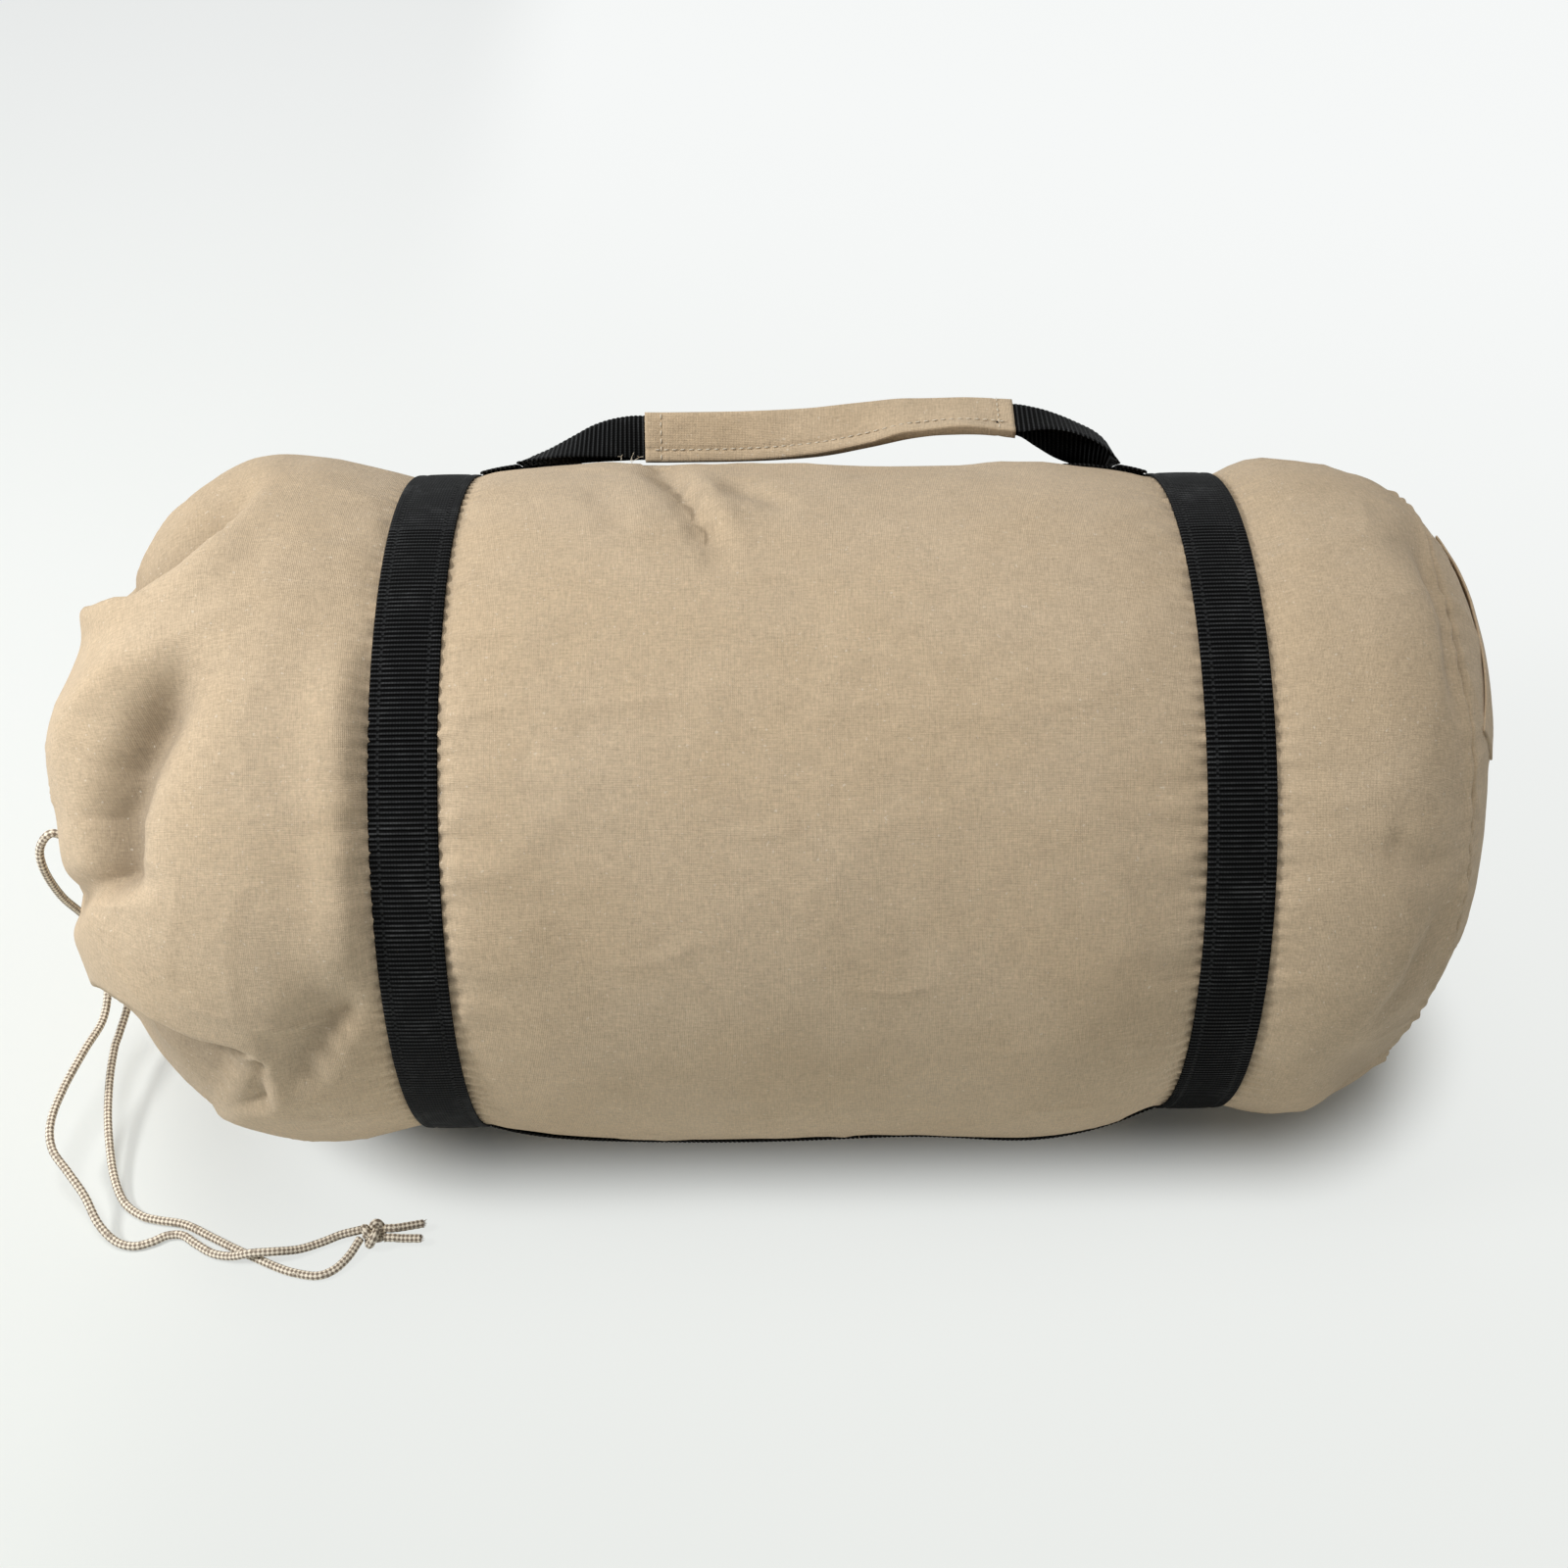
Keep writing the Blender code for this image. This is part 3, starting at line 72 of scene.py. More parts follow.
class Socket:
    """A shader socket that takes part in Python arithmetic."""

    def __init__(self, graph: "Graph", socket: bpy.types.NodeSocket) -> None:
        """Keep the graph and the socket that gives the value."""
        self.graph = graph
        self.socket = socket

    def maths(self, operation: str, *others: object) -> "Socket":
        """Result of a Math node that takes this value and then others."""
        inputs = dict(enumerate((self, *others)))
        return self.graph.node("ShaderNodeMath", {"operation": operation}, inputs)

    def __add__(self, other: object) -> "Socket":
        """Sum."""
        return self.maths("ADD", other)

    __radd__ = __add__

    def __mul__(self, other: object) -> "Socket":
        """Product."""
        return self.maths("MULTIPLY", other)

    __rmul__ = __mul__

    def __sub__(self, other: object) -> "Socket":
        """Difference."""
        return self.maths("SUBTRACT", other)

    def __rsub__(self, other: object) -> "Socket":
        """Difference with a number on the left."""
        return self * -1.0 + other

    def sine(self) -> "Socket":
        """Sine of the value in radians."""
        return self.maths("SINE")

    def size(self) -> "Socket":
        """The value without its sign."""
        return self.maths("ABSOLUTE")

    def step(self, low: float, high: float) -> "Socket":
        """A smooth step from 0 at low to 1 at high."""
        settings = {"interpolation_type": "SMOOTHSTEP"}
        return self.graph.node(
            "ShaderNodeMapRange", settings, {"Value": self, "From Min": low, "From Max": high}
        )


class Graph:
    """The node tree of a material or a world, built from Python expressions."""

    def __init__(self, name: str, world: bool = False) -> None:
        """Make a material or a world with an empty tree."""
        self.owner = (bpy.data.worlds if world else bpy.data.materials).new(name)
        self.owner.use_nodes = True
        self.tree = self.owner.node_tree
        self.tree.nodes.clear()

    def node(self, kind: str, settings: dict, inputs: dict, output: object = 0) -> Socket:
        """Add any node.

        Args:
            kind: The node's type.
            settings: Attributes that are set first.
            inputs: Values or sockets by the input's name or index.
            output: Name or index of the output that is returned.

        Returns:
            The chosen output.
        """
        made = self.tree.nodes.new(kind)
        for key, value in settings.items():
            setattr(made, key, value)
        for key, value in inputs.items():
            if isinstance(value, Socket):
                self.tree.links.new(value.socket, made.inputs[key])
            else:
                made.inputs[key].default_value = value
        return Socket(self, made.outputs[output])

    def noise(
        self, scale: float, detail: float, rough: float = 0.5, vector: Socket | None = None
    ) -> Socket:
        """Fractal noise from 0 to 1, in cells per metre unless a vector is given."""
        place = vector or self.coordinates("Object")
        inputs = {"Vector": place, "Scale": scale, "Detail": detail, "Roughness": rough}
        return self.node("ShaderNodeTexNoise", {}, inputs, "Fac")

    def coordinates(self, kind: str) -> Socket:
        """Object or UV coordinates."""
        return self.node("ShaderNodeTexCoord", {}, {}, kind)

    def split(self, vector: Socket) -> tuple[Socket, Socket, Socket]:
        """X, Y and Z of a vector."""
        first = self.node("ShaderNodeSeparateXYZ", {}, {0: vector})
        return tuple(Socket(self, out) for out in first.socket.node.outputs)

    def mix(self, factor: object, first: object, second: object) -> Socket:
        """Mix two colours."""
        inputs = {0: factor, 6: self.opaque(first), 7: self.opaque(second)}
        return self.node("ShaderNodeMix", {"data_type": "RGBA"}, inputs, 2)

    def shaded(self, colour: Socket, share: Socket) -> Socket:
        """A colour scaled by a share that changes over the surface."""
        inputs = {0: colour, "Scale": share}
        return self.node("ShaderNodeVectorMath", {"operation": "SCALE"}, inputs, "Vector")

    @staticmethod
    def opaque(colour: object) -> object:
        """A plain colour with its alpha, or the socket as it is."""
        return colour if isinstance(colour, Socket) else (*colour, 1.0)

    def bump(self, height: Socket, distance: float, strength: float = 1.0) -> Socket:
        """Normal of a height in units of the distance."""
        inputs = {"Height": height, "Distance": distance, "Strength": strength}
        return self.node("ShaderNodeBump", {}, inputs, "Normal")

    def surface(self, inputs: dict) -> bpy.types.Material:
        """The finished material, with the inputs of its Principled shader."""
        return self.close(self.node("ShaderNodeBsdfPrincipled", {}, inputs))

    def close(self, shader: Socket) -> bpy.types.ID:
        """Link a shader to the output and hand over the material or world."""
        world = isinstance(self.owner, bpy.types.World)
        made = self.tree.nodes.new("ShaderNodeOutputWorld" if world else "ShaderNodeOutputMaterial")
        self.tree.links.new(shader.socket, made.inputs["Surface"])
        return self.owner


def tint(colour: Colour, share: float) -> Colour:
    """A colour scaled by a share."""
    return tuple(channel * share for channel in colour)


@dataclass(frozen=True)
class ClothFinish:
    """Poly-cotton canvas: fine plain weave, soft mottling and a little lint, darkened by painted
    shade in folds, seams and beside the hoops.
    """

    name: str = "sand_canvas"
    colour: Colour = (0.600, 0.468, 0.318)
    warm: Colour = (0.575, 0.44, 0.288)
    lint: Colour = (0.82, 0.74, 0.62)
    yarn_pitch: float = 0.00062
    roughness: float = 0.93
    sheen: float = 0.10

    def build(self) -> bpy.types.Material:
        """Make the material."""
        graph = Graph(self.name)
        across, along, _ = graph.split(graph.coordinates("UV"))
        turns = 2 * math.pi / self.yarn_pitch
        wobble = graph.noise(260.0, 2.0) * 1.6
        warp = (across * turns + wobble).sine() * 0.5 + 0.5
        weft = (along * turns + wobble).sine() * 0.5 + 0.5
        slub = graph.noise(900.0, 3.0, 0.7)
        cloud = graph.noise(14.0, 4.0, 0.6)
        patch = graph.noise(75.0, 4.0, 0.65)
        speck = graph.noise(620.0, 1.0).step(0.70, 0.78)
        dark = graph.noise(480.0, 1.0).step(0.74, 0.82)
        base = graph.mix(cloud.step(0.3, 0.7), self.colour, self.warm)
        # Painted shade: darkens the cloth by up to 40 % in folds and seams and where it goes under
        # the hoops.
        painted_shade = graph.node("ShaderNodeAttribute", {"attribute_name": "painted_shade"}, {}, "Fac")
        ways = ({0: across * 1500.0, 1: along * 170.0}, {0: across * 170.0, 1: along * 1500.0})
        yarns = [graph.node("ShaderNodeCombineXYZ", {}, way) for way in ways]
        thread, filling = (graph.noise(1.0, 2.0, 0.6, yarn) for yarn in yarns)
        woven = thread + filling - 1.0
        mottle = (slub - 0.5) * 0.54 + woven * 0.44 + (patch - 0.5) * 0.18
        shade = mottle + warp * weft * 0.10 + 0.935
        shaded = graph.shaded(base, shade * (painted_shade * -0.40 + 1.0))
        dusted = graph.mix(speck * 0.42, shaded, self.lint)
        marked = graph.mix(dark * 0.22, dusted, tint(self.warm, 0.5))
        height = warp * 0.35 + weft * 0.35 + slub * 0.9 + patch * 1.1
        return graph.surface({
            "Base Color": marked,
            "Roughness": self.roughness,
            "Sheen Weight": self.sheen,
            "Sheen Roughness": 0.6,
            "Specular IOR Level": 0.25,
            "Normal": graph.bump(height, 0.00022, 0.75),
        })


class Lengthwise(Enum):
    """Which coordinate of the UV map runs along a webbing."""

    FIRST = 0
    SECOND = 1


@dataclass(frozen=True)
class WebbingFinish:
    """Black polypropylene webbing with a faint satin sheen, and painted shade in the grooves
    between its ribs.
    """

    name: str = "black_ribbed_webbing"
    lengthwise: Lengthwise = Lengthwise.FIRST
    colour: Colour = (0.017, 0.0176, 0.0182)
    # Painted shade: near black, for the grooves between the ribs.
    groove: Colour = (0.0003, 0.0003, 0.0003)
    dust: Colour = (0.11, 0.114, 0.116)
    yarn_pitch: float = 0.0011
    rib_pitch: float = 0.00185
    stitch_lines: tuple[float, ...] = ()

    def build(self) -> bpy.types.Material:
        """Make the material."""
        graph = Graph(self.name)
        flat = graph.split(graph.coordinates("UV"))
        along, across = flat[self.lengthwise.value], flat[1 - self.lengthwise.value]
        yarns = (across * (2 * math.pi / self.yarn_pitch)).sine() * 0.5 + 0.5
        crown = (along * (math.pi / self.rib_pitch)).sine().size()
        fuzz = graph.noise(1500.0, 2.0, 0.7)
        worn = graph.noise(60.0, 4.0, 0.7).step(0.45, 0.8)
        lit = graph.mix(worn * fuzz * 0.9 + yarns * 0.16, self.colour, self.dust)
        # Painted shade: the grooves between the ribs take the near-black colour and the crowns keep
        # the lit colour.
        base = graph.mix(crown.step(0.74, 0.99), self.groove, lit)
        for line in self.stitch_lines:
            seam = (across - line).size().step(0.00075, 0.00025)
            thread = (along * (math.pi / 0.0026)).sine().size().step(0.45, 0.75)
            stitch = graph.mix(thread, self.groove, tint(self.dust, 0.22))
            base = graph.mix(seam * 0.85, base, stitch)
        return graph.surface({
            "Base Color": base,
            "Roughness": fuzz * 0.2 + 0.55,
            "Specular IOR Level": 0.05,
            "Normal": graph.bump(crown * 1.2 + yarns * 0.3 + fuzz * 0.5, 0.0003, 0.9),
        })


@dataclass(frozen=True)
class BraidFinish:
    """Braided cord: pale strands that cross on the skew, with darker flecks."""

    name: str
    pale: Colour
    dark: Colour
    diameter: float
    strands: int = 3
    fleck_share: float = 0.56

    def build(self) -> bpy.types.Material:
        """Make the material."""
        graph = Graph(self.name)
        round_part, along, _ = graph.split(graph.coordinates("UV"))
        turns = 2 * self.strands / self.diameter
        one = (round_part * turns + along * turns).sine()
        other = (round_part * turns - along * turns).sine()
        cross = (one * other) * 0.5 + 0.5
        fibre = graph.noise(2600.0, 2.0, 0.7)
        fleck = graph.noise(420.0, 2.0, 0.6).step(self.fleck_share, self.fleck_share + 0.09)
        base = graph.mix(cross.step(0.28, 0.74), tint(self.dark, 0.9), self.pale)
        flecked = graph.mix(fleck * 0.60, base, self.dark)
        return graph.surface({
            "Base Color": graph.shaded(flecked, fibre * 0.5 + 0.75),
            "Roughness": 0.72,
            "Sheen Weight": 0.15,
            "Specular IOR Level": 0.3,
            "Normal": graph.bump(cross * 0.8 + fibre * 0.4, 0.00025, 0.8),
        })


@dataclass(frozen=True)
class ThreadFinish:
    """Spun sewing thread."""

    name: str
    colour: Colour

    def build(self) -> bpy.types.Material:
        """Make the material."""
        graph = Graph(self.name)
        twist = graph.noise(3000.0, 2.0, 0.7)
        base = graph.mix(twist, tint(self.colour, 0.7), self.colour)
        return graph.surface(
            {"Base Color": base, "Roughness": 0.7, "Normal": graph.bump(twist, 0.0001, 0.6)}
        )


@dataclass(frozen=True)
class MetalFinish:
    """Plain or blackened metal with fine handling marks."""

    name: str
    colour: Colour
    roughness: float

    def build(self) -> bpy.types.Material:
        """Make the material."""
        graph = Graph(self.name)
        grain = graph.noise(700.0, 4.0, 0.7)
        smear = graph.noise(45.0, 3.0)
        base = graph.mix(grain, tint(self.colour, 0.8), self.colour)
        return graph.surface({
            "Base Color": base,
            "Metallic": 1.0,
            "Roughness": smear * 0.25 + (self.roughness - 0.1),
            "Normal": graph.bump(grain, 0.00005, 0.5),
        })


@dataclass(frozen=True)
class SweepFinish:
    """White sweep, evened out to the camera except close under the bag."""

    name: str = "white_sweep"
    # Painted light: the front of the sweep is darker than its back.
    front: Colour = (0.815, 0.835, 0.81)
    back: Colour = (0.94, 0.955, 0.95)
    evened_left: float = 0.42
    evened_right: float = 0.90
    under: float = 0.063
    clear: float = 0.118

    def build(self) -> bpy.types.Material:
        """Make the material."""
        graph = Graph(self.name)
        along, depth, _ = graph.split(graph.coordinates("Object"))
        cloud = graph.noise(2.2, 3.0)
        # Painted light: darker towards the front, lighter towards the back and the right.
        share = (depth + along * 0.45 + (cloud - 0.5) * 0.2).step(-0.6, 1.2)
        base = graph.mix(share, self.front, self.back)
        past = ((along - 0.04).size() - 0.16).maths("MAXIMUM", 0.0)
        away = (past * past + depth * depth).maths("SQRT")
        rise = self.evened_right - self.evened_left
        evened = along.step(-0.30, -0.17) * rise + self.evened_left
        even = away.step(self.under, self.clear) * evened
        seen = graph.node("ShaderNodeLightPath", {}, {}, "Is Camera Ray")
        lit = graph.node("ShaderNodeBsdfDiffuse", {}, {"Color": base, "Roughness": 0.8})
        plain = graph.node("ShaderNodeEmission", {}, {"Color": base, "Strength": 1.0})
        inputs = {0: even * seen, 1: lit, 2: plain}
        return graph.close(graph.node("ShaderNodeMixShader", {}, inputs))


@dataclass(frozen=True)
class PhotographCamera:
    """Camera that was fitted to the photograph."""

    elevation: float = math.radians(40.0)
    roll: float = math.radians(-0.85)
    distance: float = 0.852
    focal_pixels: float = 2080.0
    axis_height: float = 0.1335
    aim_x: float = 0.0038
    aim_lift: float = 0.005

    def axes(self) -> tuple[Array, Array, Array, Array]:
        """Right, up and back of the camera, and its place."""
        back = np.array((0.0, -math.cos(self.elevation), math.sin(self.elevation)))
        lift = np.array((0.0, math.sin(self.elevation), math.cos(self.elevation)))
        side = np.array((1.0, 0.0, 0.0))
        cosine, sine = math.cos(self.roll), math.sin(self.roll)
        right = cosine * side + sine * lift
        up = cosine * lift - sine * side
        aim = np.array((self.aim_x, 0.0, self.axis_height)) + self.aim_lift * lift
        return right, up, back, aim + self.distance * back

    def picture(self, points: Array) -> Array:
        """Where points fall in the picture.

        Args:
            points: Rows of X, Y and Z.

        Returns:
            Rows of right and down, in pixels.
        """
        right, up, back, eye = self.axes()
        rays = points - eye
        depth = -(rays @ back)
        half = FRAME_PIXELS / 2
        across = half + self.focal_pixels * (rays @ right) / depth
        down = half - self.focal_pixels * (rays @ up) / depth
        return np.stack((across, down), axis=-1)

    def build(self) -> None:
        """Make the camera and use it."""
        right, up, back, eye = self.axes()
        data = bpy.data.cameras.new("camera")
        data.sensor_width = 36.0
        data.lens = self.focal_pixels / FRAME_PIXELS * data.sensor_width
        data.clip_start = 0.01
        made = bpy.data.objects.new("camera", data)
        turn = Matrix((right, up, back)).transposed().to_4x4()
        made.matrix_world = Matrix.Translation(Vector(eye)) @ turn
        bpy.context.scene.collection.objects.link(made)
        bpy.context.scene.camera = made


class LampKind(Enum):
    """Blender's light for a softbox far away, and for one beside the object."""

    FAR = "SUN"
    NEAR = "AREA"


@dataclass(frozen=True)
class Lamp:
    """A soft lamp; its spread is an angle in degrees far away and a width in metres nearby."""

    name: str
    kind: LampKind
    place: Place
    target: Place
    power: float
    spread: float

    def build(self) -> None:
        """Add the lamp and turn it to its target."""
        data = bpy.data.lights.new(self.name, self.kind.value)
        data.energy = self.power
        if self.kind is LampKind.FAR:
            data.angle = math.radians(self.spread)
        else:
            data.shape, data.size = "SQUARE", self.spread
        lamp = bpy.data.objects.new(self.name, data)
        lamp.location = self.place
        look = Vector(self.target) - Vector(self.place)
        lamp.rotation_euler = look.to_track_quat("-Z", "Y").to_euler()
        bpy.context.scene.collection.objects.link(lamp)


@dataclass(frozen=True)
class Studio:
    """White floor, soft lamps and an even world."""

    floor_reach: float = 6.0
    world_light: float = 0.20
    seen_light: float = 0.95
    lamps: tuple[Lamp, ...] = (
        Lamp("overhead", LampKind.FAR, (-0.12, 0.02, 1.0), (0.0, 0.0, 0.0), 1.56, 28.0),
        Lamp("side", LampKind.NEAR, (-1.00, -0.30, 0.88), (-0.20, 0.0, 0.13), 9.4, 0.20),
    )

    def build(self) -> None:
        """Make the floor, the lamps and the world."""
        self.make_floor()
        for lamp in self.lamps:
            lamp.build()
        self.make_world()
        bpy.context.scene.view_settings.view_transform = "Standard"

    def make_floor(self) -> None:
        """A large flat sheet under the bag."""
        mesh = bmesh.new()
        bmesh.ops.create_grid(mesh, x_segments=8, y_segments=8, size=self.floor_reach)
        bmesh.ops.translate(mesh, vec=(0.0, 2.0, 0.0), verts=mesh.verts)
        floor = Maker.add(mesh, "floor", SweepFinish().build())

    def make_world(self) -> None:
        """White to the camera and to glossy rays, and a plain level of light otherwise."""
        graph = Graph("studio", world=True)
        camera = graph.node("ShaderNodeLightPath", {}, {}, "Is Camera Ray")
        glossy = graph.node("ShaderNodeLightPath", {}, {}, "Is Glossy Ray")
        seen = camera.maths("MAXIMUM", glossy)
        inputs = {"Value": seen, "To Min": self.world_light, "To Max": self.seen_light}
        strength = graph.node("ShaderNodeMapRange", {}, inputs)
        inputs = {"Color": (0.985, 1.0, 0.995, 1.0), "Strength": strength}
        bpy.context.scene.world = graph.close(graph.node("ShaderNodeBackground", {}, inputs))


class Maker:
    """Turns grids of points into finished pieces."""

    @staticmethod
    def add(mesh: Mesh, name: str, finish: bpy.types.Material) -> Piece:
        """Link a bmesh as a smooth object at the origin."""
        data = bpy.data.meshes.new(name)
        mesh.to_mesh(data)
        mesh.free()
        data.shade_smooth()
        data.materials.append(finish)
        made = bpy.data.objects.new(name, data)
        bpy.context.scene.collection.objects.link(made)
        return made

    @staticmethod
    def finish(
        mesh: Mesh, name: str, finish: str, slot: str = "", node: str = "", body: str = "bag",
        wall: float = 0.0,
    ) -> Piece:
        """Args:
            mesh: Its shape.
            name: Name of the piece.
            finish: Name of its material.
            slot: Its colour slot, if it has one; not used.
            node: The node of the part that it stands for, if any.
            body: The body that it rides on; empty for one that rides on none.
            wall: Thickness of a cloth, which it gets on the inside.

        Returns:
            The finished piece.
        """
        piece = Maker.add(mesh, name, bpy.data.materials[finish])
        if wall:
            made = piece.modifiers.new("wall", "SOLIDIFY")
            made.thickness, made.offset = wall, -1
        if body:
            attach(piece, body)
        if node:
            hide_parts(node)
        LOG.info("%s: %d vertices", name, len(piece.data.vertices))
        return piece

    @staticmethod
    def seal(mesh: Mesh, beyond_x: float) -> None:
        """Close the open rim past a place along the bag and turn the faces outwards."""
        rim = [e for e in mesh.edges if e.is_boundary and e.verts[0].co.x > beyond_x]
        bmesh.ops.holes_fill(mesh, edges=rim, sides=0)
        bmesh.ops.triangulate(mesh, faces=[f for f in mesh.faces if len(f.verts) > 4])
        bmesh.ops.recalc_face_normals(mesh, faces=mesh.faces)

    @staticmethod
    def fibre(
        mesh: Mesh, root: Vector, heading: Vector, length: float, radii: tuple[float, float]
    ) -> None:
        """Add a thin thread end that starts at its root and stays over the floor."""
        made = bmesh.ops.create_cone(
            mesh, segments=5, radius1=radii[0], radius2=radii[1], depth=length, cap_ends=True
        )["verts"]
        turn = heading.to_track_quat("Z", "Y").to_matrix().to_4x4()
        spot = root + heading * length / 2
        spot.z = max(spot.z, 0.0004)
        bmesh.ops.transform(mesh, matrix=Matrix.Translation(spot) @ turn, verts=made)

    @staticmethod
    def spread(places: Array, axis: int) -> Array:
        """Shares from 0 to 1 by the mean length between neighbours along an axis."""
        spans = np.linalg.norm(np.diff(places, axis=axis), axis=-1).mean(axis=1 - axis)
        lengths = np.concatenate(([0.0], np.cumsum(spans)))
        return lengths / max(lengths[-1], 1e-9)

    @staticmethod
    def grid(
        places: Array, sizes: tuple[float, float], around: bool, capped: bool = False,
        painted_shade: Array | None = None,
    ) -> Mesh:
        """Lay a bmesh grid on rows of places.

        Args:
            places: Points by row and column.
            sizes: Real width along the columns and length along the rows, for the UV map.
            around: Whether the last column joins the first.
            capped: Whether both ends are closed.
            painted_shade: Painted shade of each place, from 0 to 1, deepest in folds.

        Returns:
            The bmesh, with its faces turned outwards where it is closed.
        """
        if around:
            places = np.concatenate((places, places[:, :1]), axis=1)
            if painted_shade is not None:
                painted_shade = np.concatenate((painted_shade, painted_shade[:, :1]), axis=1)
        rows, columns = places.shape[:2]
        across = Maker.spread(places, 1) * sizes[0]
        along = Maker.spread(places, 0) * sizes[1]
        mesh = bmesh.new()
        layer = mesh.loops.layers.uv.new("UVMap")
        depth = None if painted_shade is None else mesh.verts.layers.float.new("painted_shade")
        bmesh.ops.create_grid(mesh, x_segments=columns - 1, y_segments=rows - 1, size=0.5)
        for vert in mesh.verts:
            column = round((vert.co.x + 0.5) * (columns - 1))
            row = round((vert.co.y + 0.5) * (rows - 1))
            for loop in vert.link_loops:
                loop[layer].uv = (across[column], along[row])
            vert.co = places[row, column]
            if depth is not None:
                vert[depth] = painted_shade[row, column]
        if around:
            bmesh.ops.remove_doubles(mesh, verts=mesh.verts, dist=1e-7)
        if capped:
            rims = [edge for edge in mesh.edges if edge.is_boundary]
            bmesh.ops.holes_fill(mesh, edges=rims, sides=0)
            bmesh.ops.recalc_face_normals(mesh, faces=mesh.faces)
        return mesh

    @staticmethod
    def ring(places: Array, length: float, girth: float) -> Mesh:
        """Close a band on itself: rows run along it and columns round its section."""
        turned = np.swapaxes(places, 0, 1)
        mesh = Maker.grid(np.concatenate((turned, turned[:1])), (length, girth), True)
        bmesh.ops.remove_doubles(mesh, verts=mesh.verts, dist=1e-7)
        bmesh.ops.recalc_face_normals(mesh, faces=mesh.faces)
        return mesh


def lattice_noise(points: Array, scale: float, seed: int) -> Array:
    """Smooth noise from -1 to 1.

    Args:
        points: Rows of X, Y and Z.
        scale: Size of one cell.
        seed: Number that picks the pattern.

    Returns:
        One value for each point.
    """
    scaled = points / scale
    cell = np.floor(scaled).astype(np.int64)
    part = scaled - cell
    part = part * part * part * (part * (part * 6 - 15) + 10)
    total = np.zeros(points.shape[:-1])
    for corner in np.ndindex(2, 2, 2):
        at = cell + np.array(corner)
        mixed = at[..., 0] * 73856093 ^ at[..., 1] * 19349663 ^ at[..., 2] * 83492791
        mixed = (mixed ^ (seed * 40503)) & 0x7FFFFFFF
        mixed = ((mixed ^ (mixed >> 13)) * 1274126177) & 0x7FFFFFFF
        value = ((mixed ^ (mixed >> 15)) & 0xFFFF) / 32767.5 - 1
        weight = np.prod(np.where(np.array(corner) == 1, part, 1 - part), axis=-1)
        total += value * weight
    return total


def smooth_step(values: Array, low: float, high: float) -> Array:
    """A smooth step from 0 at low to 1 at high."""
    share = np.clip((values - low) / (high - low), 0, 1)
    return share * share * (3 - 2 * share)


def bell(values: Array, width: float) -> Array:
    """A bell of height 1 round 0."""
    return np.exp(-((values / width) ** 2))


def squared(values: Array, power: float) -> Array:
    """Values from -1 to 1 pushed outwards, which squares a round section."""
    return np.sign(values) * abs(values) ** power


def unit(vectors: Array) -> Array:
    """Vectors scaled to a length of 1."""
    return vectors / np.maximum(np.linalg.norm(vectors, axis=-1, keepdims=True), 1e-12)


def circle(count: int) -> Array:
    """A row of even angles for a whole turn."""
    return np.linspace(0, 2 * math.pi, count, endpoint=False)[None, :]


def lengths_along(points: Array) -> Array:
    """Length of a path from its first point to each."""
    return np.concatenate(([0.0], np.cumsum(np.linalg.norm(np.diff(points, axis=0), axis=-1))))


def points_along(points: Array, lengths: Array) -> Array:
    """Points of a path at given lengths."""
    run = lengths_along(points)
    return np.stack([np.interp(lengths, run, column) for column in points.T], axis=-1)


@dataclass(frozen=True)
class Crease:
    """A fold as the front shows it, its line in pixels of the picture."""

    line: tuple[tuple[float, float], ...]
    left: float
    right: float
    height: float
    start_fade: float = 0.3
    end_fade: float = 0.3
    narrowing: tuple[float, float] = (1.0, 1.0)

    def heights(self, seen: Array) -> Array:
        """How high the fold stands at each place.

        Args:
            seen: Rows of right and down, in pixels.

        Returns:
            Heights in metres; negative where the cloth is pressed in.
        """
        points = np.array(self.line)
        lengths = np.linalg.norm(points[1:] - points[:-1], axis=1)
        total = lengths.sum()
        nearest = np.full(seen.shape[:-1], np.inf)
        share, side, run = np.zeros_like(nearest), np.zeros_like(nearest), 0.0
        for start, end, length in zip(points, points[1:], lengths):
            along = (end - start) / length
            offset = seen - start
            place = np.clip(offset @ along, 0, length)
            gap = np.linalg.norm(offset - place[..., None] * along, axis=-1)
            closer = gap < nearest
            nearest = np.where(closer, gap, nearest)
            share = np.where(closer, (run + place) / total, share)
            turn = along[0] * offset[..., 1] - along[1] * offset[..., 0]
            side = np.where(closer, turn, side)
            run += length
        left_share, right_share = self.narrowing
        left = self.left * (1 + (left_share - 1) * share)
        right = self.right * (1 + (right_share - 1) * share)
        width = np.where(side < 0, left, right)
        ends = smooth_step(share, -0.02, self.start_fade)
        ends = ends * smooth_step(1 - share, -0.02, self.end_fade)
        return self.height * ends * bell(nearest, width)


